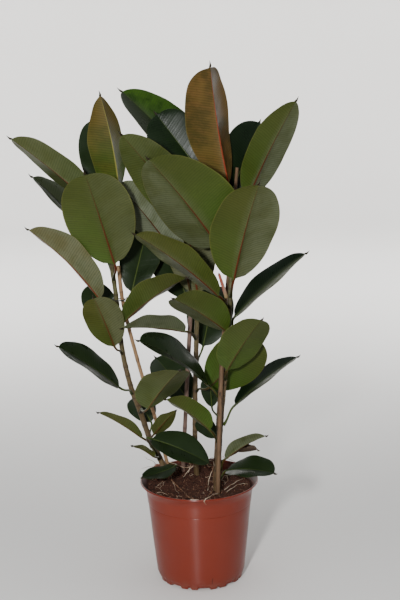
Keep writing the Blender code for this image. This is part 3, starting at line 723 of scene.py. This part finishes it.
def sheath_skin():
    """Smooth pink-red bud sheath, greener at its foot and browner at its tip."""
    graph = Graph("pink_bud_sheath")
    height = graph.height()
    low, high = box("sheath")
    middle = (low.x + high.x) / 2
    streaks = graph.noise(10.0, 3.0, graph.stretched(60, 60, 5))
    graph.colour = graph.mix(streaks, (128, 62, 48), (168, 96, 78))
    right = graph.remap(graph.split(graph.place)[0], middle - 0.001, middle + 0.003, 0.0, 0.6)
    graph.coat(right, (150, 134, 116))
    graph.coat(graph.remap(height, low.z + 0.02, low.z, 0.0, 0.6), (134, 120, 66))
    graph.coat(graph.remap(height, high.z - 0.012, high.z, 0.0, 0.7), (96, 48, 36))
    return graph.finish(0.42, graph.bump(streaks, 0.0004, 0.6))


def dry_skin():
    """Papery dried scale."""
    graph = Graph("dry_brown_scale")
    graph.colour = graph.mix(graph.noise(60.0, 4.0), (44, 33, 26), (84, 68, 52))
    return graph.finish(0.75, graph.bump(graph.noise(160.0, 4.0), 0.0008, 0.9), specular_ior_level=0.25)


def tie_plastic():
    """Soft dark plastic of the plant tie."""
    graph = Graph("dark_tie")
    graph.colour = graph.mix(graph.noise(120.0), (26, 27, 26), (46, 48, 44))
    return graph.finish(0.55, graph.bump(graph.noise(400.0, 2.0), 0.0002, 0.6), specular_ior_level=0.4)


# ---------------------------------------------------------------- pot


def foot_share(angle):
    """1 under a foot and 0 between feet, with rounded flanks."""
    place = (math.degrees(angle) - FIRST_FOOT) % (360 / FOOT_PAIRS)
    shares = []
    for start in (0.0, FOOT_ANGLE + NOTCH_ANGLE):
        rise = smooth(place, start, start + FOOT_FLANK)
        shares.append(rise * (1 - smooth(place, start + FOOT_ANGLE - FOOT_FLANK, start + FOOT_ANGLE)))
    return max(shares)


def wall_radius(height):
    rise = (height - HEEL_HEIGHT) / (NECK_HEIGHT - HEEL_HEIGHT)
    return HEEL_RADIUS + (NECK_RADIUS - HEEL_RADIUS) * min(max(rise, 0), 1)


def flare(t):
    """Radius and height of the outer face from the neck, t = 0, to the rim, t = 1."""
    swell = (RIM_RADIUS - NECK_RADIUS) * (0.16 * t + 0.84 * t ** 1.7)
    return NECK_RADIUS + swell, NECK_HEIGHT + (POT_HEIGHT - 0.0026 - NECK_HEIGHT) * t


def pot_profile():
    """Radius, height, and height under a foot, from the centre of the underside over the rim to inside."""
    low_wall = [HEEL_HEIGHT + (STEP_HEIGHT - 0.0016 - HEEL_HEIGHT) * k / 11 for k in range(1, 12)]
    high_wall = [STEP_HEIGHT + (NECK_HEIGHT - STEP_HEIGHT) * k / 5 for k in range(1, 6)]
    inner_wall = (0.16, 0.10, 0.05, HEEL_HEIGHT)
    step = wall_radius(STEP_HEIGHT)
    profile = [(0.0008, 0.0, None), (PAD_RADIUS - 0.002, 0.0, None), (PAD_RADIUS, 0.0006, None),
               (PAD_RADIUS + 0.004, FOOT_HEIGHT, None), (FOOT_INNER - 0.003, FOOT_HEIGHT, None),
               (FOOT_INNER - 0.001, FOOT_HEIGHT, 0.0010), (FOOT_INNER, FOOT_HEIGHT, 0.0),
               (FOOT_OUTER - 0.006, FOOT_HEIGHT, 0.0), (FOOT_OUTER - 0.002, FOOT_HEIGHT * 1.1, 0.0006),
               (FOOT_OUTER + 0.002, FOOT_HEIGHT * 1.5, 0.0026), (HEEL_RADIUS - 0.0042, 0.0095, 0.0060),
               (HEEL_RADIUS - 0.0020, 0.0140, 0.0120), (HEEL_RADIUS - 0.0005, 0.0175, None),
               (HEEL_RADIUS, HEEL_HEIGHT, None)]
    profile += [(wall_radius(z) - 0.0007 * smooth(z, 0.06, 0.17), z, None) for z in low_wall]
    profile += [(step - 0.0009, STEP_HEIGHT - 0.0010, None), (step - 0.0018, STEP_HEIGHT - 0.0003, None),
                (step - 0.0002, STEP_HEIGHT + 0.0003, None), (step, STEP_HEIGHT + 0.0010, None)]
    profile += [(wall_radius(z), z, None) for z in high_wall]
    profile += [(*flare(k / 10), None) for k in range(1, 11)]
    profile += [(RIM_RADIUS - 0.0003, POT_HEIGHT - 0.0009, None), (RIM_RADIUS - 0.0010, POT_HEIGHT, None),
                (RIM_RADIUS - 0.0024, POT_HEIGHT, None), (RIM_RADIUS - 0.0034, POT_HEIGHT - 0.0010, None)]
    for k in range(9, -1, -1):
        radius, height = flare(k / 10)
        profile.append((radius - WALL, height + 0.0005, None))
    profile += [(wall_radius(z) - WALL, z, None) for z in inner_wall]
    return profile + [(radius, FLOOR_HEIGHT, None) for radius in (FOOT_INNER + 0.010, 0.040, 0.0008)]


def make_pot(finish):
    """The pot, turned from its profile with its feet, and its drain holes cut."""
    rings = []
    for radius, height, foot in pot_profile():
        ring = circle(radius, height, POT_COLUMNS)
        if foot is not None:
            for k, point in enumerate(ring):
                point.z = height + (foot - height) * foot_share(math.tau * k / POT_COLUMNS)
        rings.append(ring)
    pot = add_object("terracotta_pot", loft("terracotta_pot", rings))
    cutters = []
    for k in range(DRAIN_HOLES):
        angle = math.tau * (k + 0.5) / DRAIN_HOLES
        centre = Vector((math.cos(angle), math.sin(angle), 0)) * DRAIN_CIRCLE
        sides = [[centre + point for point in circle(DRAIN_RADIUS, z, DRAIN_SIDES)]
                 for z in (FOOT_HEIGHT - 0.003, FLOOR_HEIGHT + 0.003)]
        cutters.append(add_object("drain_%d" % k, loft("drain_%d" % k, sides)))
        cut = pot.modifiers.new("drain", "BOOLEAN")
        cut.operation = "DIFFERENCE"
        cut.object = cutters[-1]
    pot.data = plain_mesh(pot)
    for cutter in cutters:
        bpy.data.objects.remove(cutter)
    pot.data.materials.clear()
    pot.data.materials.append(finish)
    pot.data.set_sharp_from_angle(angle=math.radians(50))
    declare(pot, "pot", "pot")


# ---------------------------------------------------------------- soil


def soil_height(x, y):
    """Height of the soil: a level bed with a heap round the left stem and low rises at the back."""
    place = Vector((x, y))
    height = sum(rise * math.exp(-((place - centre).length / spread) ** 2) for centre, spread, rise in HEAPS)
    lumps = 0.0024 * noise.fractal(Vector((x, y, 0)) * 55, 0.8, 2.0, 4)
    inside = 1 - smooth(place.length, SOIL_RADIUS * 0.88, SOIL_RADIUS)
    height = height * (0.70 + 0.30 * inside) + lumps * (0.4 + 0.6 * inside)
    away = max(abs(x - WATER_MIDDLE[0]) - WATER_HALF[0], abs(y - WATER_MIDDLE[1]) - WATER_HALF[1])
    dip = WATER_DIP + lumps * 0.3
    return min(SOIL_LEVEL + dip + (height - dip) * smooth(away, 0.001, 0.014), SOIL_TOP)


def on_soil(x, y, rise=0.0):
    return Vector((x, y, soil_height(x, y) + rise))


def lift_off_soil(point, clearance):
    """Raise a point that lies in the soil until it is this far above."""
    if point.xy.length < SOIL_RADIUS:
        point.z = max(point.z, soil_height(point.x, point.y) + clearance)


def soil_surface(rings, around):
    """The soil's upper face as a grid of rings, closed at the middle, and its outermost ring."""
    shape = bmesh.new()
    columns = []
    for k in range(rings):
        edge = circle(SOIL_RADIUS * (1 - k / rings), 0.0, around)
        columns.append([shape.verts.new(on_soil(point.x, point.y)) for point in edge])
    middle = shape.verts.new(on_soil(0, 0))
    for outer, inner in zip(columns, columns[1:]):
        bridge(shape, outer, inner)
    for n in range(around):
        shape.faces.new((columns[-1][n], columns[-1][(n + 1) % around], middle))
    return shape, columns[0]


def make_soil(finish, crumb_finish, chip_finish, tree):
    """The block of soil, with crumbs and bark chips strewn over it."""
    shape, rim = soil_surface(64, 200)
    floor = UP * (FLOOR_HEIGHT + 0.0006)
    lower = [shape.verts.new(Vector((*vert.co.xy, 0)).normalized() * (FOOT_INNER + 0.009) + floor)
             for vert in rim]
    base = shape.verts.new(floor)
    for n in range(len(rim)):
        m = (n + 1) % len(rim)
        shape.faces.new((rim[m], rim[n], lower[n], lower[m]))
        shape.faces.new((lower[m], lower[n], base))
    mesh = to_mesh("soil_bed", shape)
    mesh.materials.append(finish)
    declare(add_object("soil_bed", mesh), "soil", "soil")
    for (name, density, seed, smallest, largest), skin in ((CRUMBS, crumb_finish), (CHIPS, chip_finish)):
        shape = soil_surface(20, 60)[0]
        guide = bpy.data.meshes.new(name + "_guide")
        shape.to_mesh(guide)
        shape.free()
        declare(grow(name, guide, tree, Density=density, Seed=seed, Smallest=smallest, Largest=largest,
                     Finish=skin), "soil")


# ---------------------------------------------------------------- stems, stakes and sheath


def rod_path(node, steps):
    """Centres and radii along a rod, from its lowest ring, with a number of steps between its rings."""
    rings = read_rings(node, ROD_SIDES, lowest)
    centres = [centre_of(ring) for ring in rings]
    radii = [(ring[0] - centre).length for ring, centre in zip(rings, centres)]
    path = spline(centres, steps)
    fine = []
    for place in (k / steps for k in range(len(path))):
        low = min(int(place), len(radii) - 1)
        high = min(low + 1, len(radii) - 1)
        fine.append(radii[low] + (radii[high] - radii[low]) * (place - low))
    return path, fine


def swept_rings(path, radius_at, sides):
    """Rings along a path, kept from twisting.  radius_at gives the radius at a point and turn."""
    across = Vector((1, 0, 0))
    rings = []
    for k, point in enumerate(path):
        along = (path[min(k + 1, len(path) - 1)] - path[max(k - 1, 0)]).normalized()
        across = (across - along * across.dot(along)).normalized()
        upright = along.cross(across)
        turns = [math.tau * n / sides for n in range(sides)]
        rings.append([point + (across * math.cos(turn) + upright * math.sin(turn)) * radius_at(k, turn)
                      for turn in turns])
    return rings


def make_rod(name, node, slot, finish, marks, swell, wobble, seed):
    """A stem or a stake: a tube with a swelling and a scar at the height of each of its marks."""
    sides = 20
    phase = random.Random(seed).uniform(0, math.tau)
    path, radii = rod_path(node, 12)
    scars, collars = ([max((math.exp(-((point.z - z) / reach) ** 2) for z in marks), default=0.0)
                       for point in path] for reach in (0.0016, 0.0042))

    def radius_at(k, turn):
        place = Vector((math.cos(turn), math.sin(turn), path[k].z * 28 + seed))
        oval = 0.03 * radii[k] * math.cos(2 * turn + phase + path[k].z * 9)
        rough = wobble * noise.noise(place * 2.1)
        return radii[k] + collars[k] * swell - scars[k] * swell * 0.45 + rough + oval

    mesh = loft(name, swept_rings(path, radius_at, sides))
    store(mesh, "scar", [scar for scar in scars for _ in range(sides)] + [0.0, scars[-1]])
    mesh.materials.append(finish)
    declare(add_object(name, mesh), slot, node)


def make_stems(finish, leaf_heights):
    """The three stems, with a scar under each leaf and others between."""
    for seed, side in enumerate(("left", "middle", "right"), 3):
        rng = random.Random(seed)
        low, high = box("stem_" + side)
        marks = list(leaf_heights[side])
        height = low.z + 0.05
        while height < high.z - 0.02:
            height += rng.uniform(0.018, 0.034)
            marks.append(height)
        make_rod("rubber_stem_" + side, "stem_" + side, "stem", finish, marks, 0.0007, 0.00035, seed)


def make_canes(beige, mauve, brown):
    """The four stakes, each with a few joints along it."""
    finishes = {"stake_left": beige, "stake_middle": mauve, "stake_right": brown, "stake_short": brown}
    for seed, (node, finish) in enumerate(finishes.items(), 20):
        rng = random.Random(seed)
        low, high = box(node)
        marks = [low.z + 0.03 + rng.uniform(0.09, 0.16) * (k + 1) for k in range(6)]
        marks = [mark for mark in marks if mark < high.z - 0.01]
        make_rod("cane_" + node, node, "stake", finish, marks, 0.0005, 0.00018, seed)


def make_sheath(finish):
    """The bud sheath: a soft cone with a seam and a blunt tip."""
    path, radii = rod_path("sheath", 6)
    widest = max(radii)

    def radius_at(k, turn):
        t = k / (len(path) - 1)
        blunt = math.sqrt(max(1 - max((t - 0.84) / 0.16, 0.0) ** 2, 0.0))
        seam = 1 - 0.16 * math.exp(-((turn - math.pi) / 0.25) ** 2)
        ripple = 1 + 0.05 * math.sin(turn * 3 + 4 * t)
        return max(widest * (0.95 - 0.35 * t) * blunt * seam, 0.0002) * ripple

    mesh = loft("bud_sheath", swept_rings(path, radius_at, 24))
    mesh.materials.append(finish)
    declare(add_object("bud_sheath", mesh), "sheath", "sheath")


# ---------------------------------------------------------------- leaves


def ring_facts(ring):
    """The half width, the upward direction, the fold and the top of the midrib of one ring of a blade."""
    pairs = [(first, second) for k, first in enumerate(ring) for second in ring[k + 1:]]
    right, left = max(pairs, key=lambda pair: (pair[0] - pair[1]).length)
    middle = (right + left) / 2
    across = (right - left).normalized()
    rib = max(ring, key=lambda point: (point - middle - across * (point - middle).dot(across)).length)
    lift = max((middle - rib).length - MIDRIB_DEPTH, 0.0)
    chord = (right - left).length / 2
    return math.hypot(chord, lift), (middle - rib).normalized(), math.atan2(lift, chord), rib


class Leaf:
    """A leaf's stalk, chord, width and fold, read back from its node."""

    def __init__(self, node):
        name = node.removeprefix("leaf_")
        self.blunt = BLUNT_TIPS.get(name, BLUNTNESS)
        self.base_power = BROAD_BASES.get(name, BASE_ROUNDNESS)
        self.reaches = LOPSIDED.get(name, (1.0, 1.0))
        rings = read_rings(node, LEAF_SIDES, tightest)
        self.end = centre_of(rings[0])
        facts = [ring_facts(ring) for ring in rings[1:1 + len(BLADE_STATIONS)]]
        _, self.glossy, self.fold, _ = max(facts, key=lambda fact: fact[0])
        self.stations = list(reversed(BLADE_STATIONS))
        self.find_chord([rib + self.glossy * MIDRIB_DEPTH for *_, rib in facts])
        self.find_outline([half for half, *_ in facts])
        self.side = self.along.cross(self.glossy).normalized()
        self.find_stalk([centre_of(ring) for ring in rings[1 + len(BLADE_STATIONS):]])

    def find_chord(self, centres):
        """The straight line from base to tip, and how far the midrib bows from it."""
        stations = self.stations
        middle = stations.index(MIDDLE_STATION)
        bows = [4 * t * (1 - t) for t in stations]
        span = stations[0] - stations[-1]
        part = (stations[middle] - stations[-1]) / span
        off = (centres[middle] - centres[-1].lerp(centres[0], part)).dot(self.glossy)
        self.bow = off / (bows[middle] - (bows[-1] + (bows[0] - bows[-1]) * part))
        start = centres[-1] - self.glossy * self.bow * bows[-1]
        stop = centres[0] - self.glossy * self.bow * bows[0]
        chord = (stop - start) / span
        self.base = start - chord * stations[-1]
        self.length = chord.length
        self.along = chord.normalized()

    def find_outline(self, halves):
        """The width and the pointedness that give these half widths."""
        rows = [(math.log(1 - t), math.log(half) - BASE_ROUNDNESS * math.log(t))
                for t, half in zip(self.stations, halves) if 0.1 < t < 0.95]
        mean_x = sum(x for x, _ in rows) / len(rows)
        mean_y = sum(y for _, y in rows) / len(rows)
        self.point = (sum((x - mean_x) * (y - mean_y) for x, y in rows)
                      / sum((x - mean_x) ** 2 for x, _ in rows))
        self.width = math.exp(mean_y - self.point * mean_x)

    def find_stalk(self, centres):
        """The control points of the stalk's curve, which passes through its ring centres."""
        second, third, self.foot = centres
        self.pull_out = (self.foot * -5 + third * 18 - second * 9 + self.base * 2) / 6
        self.pull_in = (self.foot * 2 - third * 9 + second * 18 - self.base * 5) / 6

    def half(self, t):
        """Half of the blade's width: blunt at the end, and as wide as the node at mid-length."""
        power = self.point * self.blunt
        match = (1 - MIDDLE_STATION) ** self.point / (1 - MIDDLE_STATION / BLADE_END) ** power
        match *= MIDDLE_STATION ** (BASE_ROUNDNESS - self.base_power)
        return self.width * match * t ** self.base_power * max(1 - t / BLADE_END, 0.0) ** power

    def middle(self, t):
        return self.base + self.along * (self.length * t) + self.glossy * (self.bow * 4 * t * (1 - t))

    def stalk_point(self, t):
        return (self.foot * (1 - t) ** 3 + self.pull_out * 3 * t * (1 - t) ** 2
                + self.pull_in * 3 * t ** 2 * (1 - t) + self.base * t ** 3)

    def stalk_heading(self, t):
        return ((self.pull_out - self.foot) * (1 - t) ** 2 + (self.pull_in - self.pull_out) * 2 * t * (1 - t)
                + (self.base - self.pull_in) * t ** 2).normalized()


def across_steps(width):
    """Distances from the midrib to the margin: close together at the midrib, then even."""
    steps = [0.0] + [min(step, width * k / HALF_STEPS) for k, step in enumerate(RIB_STEPS, 1)]
    start = steps[-1]
    rest = HALF_STEPS - len(RIB_STEPS)
    for k in range(1, rest + 1):
        steps.append(start + (width - start) * math.sin(math.pi / 2 * k / rest) ** 0.92)
    return steps


def ring_order(steps):
    """Distance across and face of each point around a blade: over the top, then back underneath."""
    over = [(x, True) for x in reversed(steps)] + [(-x, True) for x in steps[1:]]
    under = [(-x, False) for x in reversed(steps[:-1])] + [(x, False) for x in steps[1:-1]]
    return over + under


def round_ring(centre, side, glossy, radius, steps):
    """The points of a blade ring laid around a circle, in the same order."""
    ring = []
    for x, over in ring_order(steps):
        turn = math.acos(min(max(x / steps[-1], -1.0), 1.0)) * (1 if over else -1)
        ring.append(centre + (side * math.cos(turn) + glossy * math.sin(turn)) * radius)
    return ring


def leaf_mesh(name, leaf, seed, shape, look):
    """A whole leaf as one closed skin: the stalk runs into the midrib on the underside."""
    rng = random.Random(seed)
    phase = [rng.uniform(0, math.tau) for _ in range(2)]
    beats = [rng.uniform(1.2, 2.2) for _ in range(2)]
    arch, wave, curl = shape
    warm, glow, pale, painted_sheen_side = look
    stout = STALK_RADIUS * (0.75 + 1.5 * leaf.length)
    rings = []
    marks = {"along": [], "edge": [], "rib": [], "vein": [], "across": []}
    looks = []

    def note(along, across, rib, vein, count=1):
        """Write down what the materials read at the next points."""
        values = {"along": along, "edge": abs(across), "rib": rib, "vein": vein, "across": across}
        for key, value in values.items():
            marks[key].extend([value] * count)
        # The painted grey sheen goes on one half of the blade and the green glow on the other.
        near = smooth(across * painted_sheen_side, -0.25, 0.30) if painted_sheen_side else 1.0
        far = smooth(-across * painted_sheen_side, -0.25, 0.30) if painted_sheen_side else 1.0
        looks.extend((warm, glow * far, pale * near, 1.0) * count)

    def buckle(t, x):
        """The blade's gentle unevenness, drawn out along the side veins."""
        line = leaf.length * t - VEIN_SLANT * abs(x)
        place = Vector((line * 34, x * 9, seed * 3.7))
        return noise.noise(place) * smooth(t, 0.04, 0.22) * (1 - smooth(t, 0.88, 1.0))

    inward = (leaf.foot - leaf.stalk_point(0.12)).normalized() * 0.0024
    for t in (k / STALK_STEPS for k in range(STALK_STEPS)):
        heading = leaf.stalk_heading(t)
        across = (leaf.side - heading * leaf.side.dot(heading)).normalized()
        radius = stout * (1 + 0.55 * (1 - smooth(t, 0.0, 0.22)) + 0.12 * smooth(t, 0.8, 1.0))
        point = leaf.stalk_point(t) + inward * (1 - smooth(t, 0.0, 0.15))
        rings.append(round_ring(point, across, across.cross(heading), radius, across_steps(radius)))
        note(t - 1, 0.0, 1.0, 0.0, len(rings[-1]))

    for u in (k / BLADE_STEPS for k in range(BLADE_STEPS + 1)):
        t = BLADE_END * (0.25 * u + 0.75 * (0.5 - 0.5 * math.cos(math.pi * u)))
        centre = leaf.middle(t)
        stalk = stout * (1.12 - 0.85 * smooth(t, 0.0, 0.95))
        width = math.hypot(leaf.half(t), stalk * (1 - t) + SPIKE_RADIUS * t)
        steps = across_steps(width)
        ring = []
        for x, over in ring_order(steps):
            q = abs(x) / width
            which = 0 if x > 0 else 1
            soft = math.hypot(x, 0.0012) - 0.0012
            lift = soft * math.sin(leaf.fold) + arch * width * 4 * q * (1 - q) * smooth(t, 0, 0.2)
            ripple = wave * q * q * math.sin(beats[which] * math.tau * t + phase[which])
            lift += ripple * smooth(t, 0.05, 0.3) * (1 - smooth(t, 0.80, 0.95))
            lift += curl * width * q ** 4 + 0.45 * wave * buckle(t, x) * smooth(abs(x), 0.0, 0.012)
            swell = math.exp(-(x / (stalk * 0.85)) ** 2)
            body = BLADE_THICKNESS / 2 * math.sqrt(max(1 - q ** 6, 0.0))
            if over:
                rise = lift + body - 0.30 * stalk * math.exp(-(x / (stalk * 0.45)) ** 2)
            else:
                rise = lift - body - stalk * 1.05 * swell * (1 - smooth(t, 0.90, 0.97))
            reach = x * math.cos(leaf.fold) * leaf.reaches[which]
            ring.append(centre + leaf.side * reach + leaf.glossy * rise)
            note(t, x / width, swell * (1 - smooth(t, 0.90, 0.96)),
                 leaf.length * t - VEIN_SLANT * abs(x) + 0.9 * x * x)
        open_out = smooth(t, 0.0, 0.035)
        if open_out < 1:
            closed = round_ring(centre, leaf.side, leaf.glossy, stalk, steps)
            ring = [a.lerp(b, open_out) for a, b in zip(closed, ring)]
        rings.append(ring)

    for t in (k / SPIKE_STEPS for k in range(1, SPIKE_STEPS + 1)):
        radius = SPIKE_RADIUS * (1 - t) ** 1.5 + 0.0004 * (1 - t ** 6) + 0.0001
        centre = leaf.middle(BLADE_END).lerp(leaf.end, t) - leaf.glossy * (0.0015 * math.sin(math.pi * t))
        rings.append(round_ring(centre, leaf.side, leaf.glossy, radius, across_steps(radius)))
        note(1.0 + t, 1.0, 0.0, leaf.length, len(rings[-1]))

    mesh = loft(name, [[inside_box(point) for point in ring] for ring in rings])
    note(-1.0, 0.0, 1.0, 0.0)
    note(2.0, 1.0, 0.0, leaf.length)
    for key, values in marks.items():
        store(mesh, key, values)
    mesh.attributes.new("look", "FLOAT_COLOR", "POINT").data.foreach_set("color", looks)
    return mesh


def mark_undersides(mesh):
    """Give a leaf's second finish to the faces of its underside."""
    top_points = 2 * HALF_STEPS + 1
    around = 4 * HALF_STEPS
    ring_points = len(mesh.vertices) - 2
    sides = [int(any(vertex < ring_points and vertex % around >= top_points for vertex in polygon.vertices))
             for polygon in mesh.polygons]
    mesh.polygons.foreach_set("material_index", sides)


def make_leaves(top, under):
    """Every leaf of the frame.  Returns the heights where their stalks leave each stem."""
    heights = {"left": [], "middle": [], "right": []}
    names = sorted(node.removeprefix("leaf_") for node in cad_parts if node.startswith("leaf_"))
    for seed, short in enumerate(names, 100):
        leaf = Leaf("leaf_" + short)
        name = "rubber_leaf_" + short
        mesh = leaf_mesh(name, leaf, seed, SHAPES.get(short, PLAIN_SHAPE), LOOKS.get(short, PLAIN_LOOK))
        mark_undersides(mesh)
        mesh.materials.append(top)
        mesh.materials.append(under)
        declare(add_object(name, mesh), "leaf", "leaf_" + short)
        heights[short.split("_")[0]].append(leaf.foot.z)
    return heights


def make_scale(finish):
    """The dried scale, made as a small curled leaf with one finish."""
    mesh = leaf_mesh("dried_scale", Leaf("dry_scale"), 77, (0.05, 0.0016, 0.30), PLAIN_LOOK)
    mesh.materials.append(finish)
    declare(add_object("dried_scale", mesh), "dry_scale", "dry_scale")


# ---------------------------------------------------------------- tie and roots


def make_tie(finish, tree):
    """A soft wire tie: two turns round the stem and the stake, with a short twisted tail."""
    low, high = box("tie_left")
    half = (high - low) / 2
    path = []
    for k in range(73):
        turn = math.tau * 2 * k / 72
        path.append((low + high) / 2 + Vector((
            math.cos(turn) * (half.x - 0.0007), math.sin(turn) * (half.y - 0.0007),
            0.0022 * (k / 72 - 0.5) + 0.0004 * math.sin(turn * 3))))
    tail = []
    for k in range(16):
        twist = Vector((math.cos(k * 1.1), 0, math.sin(k * 1.1))) * 0.0006
        tail.append(path[-1] + Vector((0.00032 * k, -0.0007 * k, 0.0004 * k)) + twist)
    wires = [(path, [0.00075] * len(path)), (tail, [0.00065] * len(tail))]
    grow_tubes("plant_tie", wires, 8, finish, tree, "tie", "tie_left")


def wandering(start, stop, lift, seed, radius, steps=12, wander=0.004):
    """A fine root from one place to another, lying on the soil and wandering a little."""
    rng = random.Random(seed)
    phase = [rng.uniform(0, math.tau) for _ in range(3)]
    path = []
    for t in (k / steps for k in range(steps + 1)):
        fade = math.sin(math.pi * t)
        point = start.lerp(stop, t)
        point.x += wander * fade * math.sin(7 * t + phase[0])
        point.y += wander * fade * math.sin(6 * t + phase[1])
        point.z += lift * fade + wander * 0.3 * fade * math.sin(11 * t + phase[2])
        lift_off_soil(point, radius * 0.6)
        path.append(point)
    return path, [radius * (1 - 0.65 * k / steps) for k in range(steps + 1)]


def loose_root(points, thick, wander, seed):
    """A root through its own points, kept on or above the soil, thinner towards its end."""
    phase = random.Random(900 + seed).uniform(0, math.tau)
    path = spline([Vector(point) * CENTIMETRE for point in points], 6)
    for k, point in enumerate(path):
        point.x += wander * math.sin(k * 0.9 + phase)
        point.z += 0.5 * wander * math.sin(k * 1.3 + phase)
        lift_off_soil(point, thick * 0.5)
    return path, [thick * (1 - 0.55 * k / (len(path) - 1)) for k in range(len(path))]


def short_roots(rng):
    """Short fine roots that lie about on the soil."""
    roots = []
    for k in range(SHORT_ROOTS):
        turn = rng.uniform(0, math.tau)
        radius = SOIL_RADIUS * math.sqrt(rng.uniform(0.05, 0.92))
        x, y = radius * math.cos(turn), radius * math.sin(turn)
        turn = rng.uniform(0, math.tau)
        length = rng.uniform(0.008, 0.030)
        far = Vector((x + length * math.cos(turn), y + length * math.sin(turn)))
        if far.length < SOIL_RADIUS * 0.97:
            roots.append(wandering(on_soil(x, y, 0.001), on_soil(far.x, far.y, 0.001),
                                   rng.uniform(0.0, 0.003), 200 + k, rng.uniform(0.00022, 0.00045)))
    return roots


def clump_roots(rng):
    """Tangled short roots that stand up from the soil in clumps."""
    roots = []
    for centre, spread, count in CLUMPS:
        for k in range(count):
            turn = rng.uniform(0, math.tau)
            away = spread * math.sqrt(rng.uniform(0.0, 1.0))
            x, y = centre[0] + away * math.cos(turn), centre[1] + away * math.sin(turn)
            turn += rng.uniform(1.0, 2.6)
            length = rng.uniform(0.006, 0.020)
            far_x, far_y = x + length * math.cos(turn), y + length * math.sin(turn)
            if max(math.hypot(x, y), math.hypot(far_x, far_y)) <= CLUMP_LIMIT:
                roots.append(wandering(on_soil(x, y, rng.uniform(0.000, 0.006)),
                                       on_soil(far_x, far_y, rng.uniform(0.000, 0.006)),
                                       rng.uniform(0.001, 0.009), 400 + k, rng.uniform(0.0004, 0.0012),
                                       wander=0.005))
    return roots


def make_roots(pale, tan, clump_skin, tree):
    """The two thick surface roots, and the loose, tangled and hair-thin ones on the soil and over the rim."""
    for node in ("root_left", "root_front"):
        path = spline([centre_of(ring) for ring in read_rings(node, ROOT_SIDES, foremost)], 6)
        for k, point in enumerate(path):
            point.x += 0.0008 * math.sin(k * 0.9)
        radii = [0.0015 - 0.0008 * k / (len(path) - 1) for k in range(len(path))]
        grow_tubes("surface_" + node, [(path, radii)], 10, tan, tree, "root", node)
    rng = random.Random(5)
    loose = [loose_root(*root, seed) for seed, root in enumerate(LOOSE_ROOTS)]
    grow_tubes("fine_roots", loose + short_roots(rng), 6, pale, tree, "root")
    grow_tubes("root_clump", clump_roots(rng), 6, clump_skin, tree, "root")
    hairs = [wandering(Vector(start) * CENTIMETRE, Vector(stop) * CENTIMETRE, 0.003, seed, 0.0006,
                       steps=14, wander=0.003) for seed, (start, stop) in enumerate(HAIRS, 31)]
    grow_tubes("hair_roots", hairs, 5, tan, tree, "root")


# ---------------------------------------------------------------- studio


def make_floor():
    """A plain pale floor that rises in a wide curve all round, far behind every camera."""
    flat, bend, top, sink, sides = 6.0, 2.2, 3.5, 0.0004, 96
    profile = [(0.02, 0.0), (1.0, 0.0), (3.0, 0.0), (flat, 0.0)]
    for turn in (math.pi / 2 * k / 12 for k in range(1, 13)):
        profile.append((flat + bend * math.sin(turn), bend * (1 - math.cos(turn))))
    profile.append((flat + bend, top))
    shape = bmesh.new()
    rings = [[shape.verts.new(point) for point in circle(radius, height - sink, sides)]
             for radius, height in profile]
    for outer, inner in zip(rings[1:], rings):
        bridge(shape, outer, inner)
    shape.faces.new(rings[0])
    mesh = to_mesh("studio_floor", shape)
    graph = Graph("pale_floor")
    graph.colour = graph.mix(graph.noise(1.2, 2.0), (228, 226, 222), (233, 231, 228))
    mesh.materials.append(graph.finish(0.85))
    add_object("studio_floor", mesh)


def area_light(name, place, aim, size, power):
    light = bpy.data.lights.new(name, "AREA")
    light.shape = "DISK"
    light.size = size
    light.energy = power
    lamp = add_object(name, light)
    lamp.location = place
    lamp.rotation_euler = (Vector(aim) - Vector(place)).to_track_quat("-Z", "Y").to_euler()
    return lamp


def make_studio():
    """A soft even room, a small key light, a wide one overhead, and two that light the wall behind."""
    world = bpy.data.worlds.new("soft_room")
    world.use_nodes = True
    sky = world.node_tree.nodes["Background"].inputs
    sky["Color"].default_value = (0.93, 0.96, 1.0, 1)
    sky["Strength"].default_value = 0.42
    bpy.context.scene.world = world
    area_light("key_light", (-0.42, -2.38, 1.28), (0, 0, 0.6), 0.20, 72)
    area_light("top_light", (0.2, 0.2, 3.2), (0, 0, 0.5), 2.0, 20)
    for name, side in (("wall_wash_left", -1), ("wall_wash_right", 1)):
        wash = area_light(name, (2.6 * side, 2.4, 3.4), (1.6 * side, 7.5, 1.0), 2.6, 360)
        wash.visible_glossy = False


def make_camera():
    """In front of the plant at head height of its leaves, tipped down and turned a little."""
    camera = bpy.data.cameras.new("front_camera")
    camera.sensor_width = 36
    camera.lens = 66
    pitch = math.radians(11.32)
    roll = math.radians(1.15)
    look = Vector((0, math.cos(pitch), -math.sin(pitch)))
    body = add_object("front_camera", camera)
    body.location = (0.010, -2.38, 1.121)
    body.rotation_mode = "QUATERNION"
    body.rotation_quaternion = look.to_track_quat("-Z", "Y") @ Quaternion((0, 0, 1), -roll)
    bpy.context.scene.camera = body


# ---------------------------------------------------------------- the whole plant


def main():
    tubes = tubes_tree()
    make_pot(pot_plastic())
    make_soil(potting_soil("dark_soil", (38, 24, 19), (66, 43, 34)),
              potting_soil("soil_crumb", (46, 28, 22), (86, 54, 42)),
              fibre("bark_chip", (128, 92, 70), (74, 46, 34), 0.85), crumbs_tree())
    leaf_heights = make_leaves(leaf_top(), leaf_under())
    make_stems(bark(), leaf_heights)
    make_canes(cane("beige_cane", (156, 126, 94), (112, 84, 58), (66, 46, 32)),
               cane("mauve_cane", (122, 98, 86), (80, 62, 54), (46, 34, 30)),
               cane("brown_cane", (116, 90, 64), (62, 45, 32), (40, 28, 21)))
    make_sheath(sheath_skin())
    make_scale(dry_skin())
    make_tie(tie_plastic(), tubes)
    make_roots(fibre("pale_root", (190, 172, 150), (128, 100, 78)),
               fibre("tan_root", (132, 96, 70), (66, 42, 30)),
               fibre("clump_root", (148, 98, 80), (74, 42, 34)), tubes)
    make_floor()
    make_studio()
    make_camera()


main()
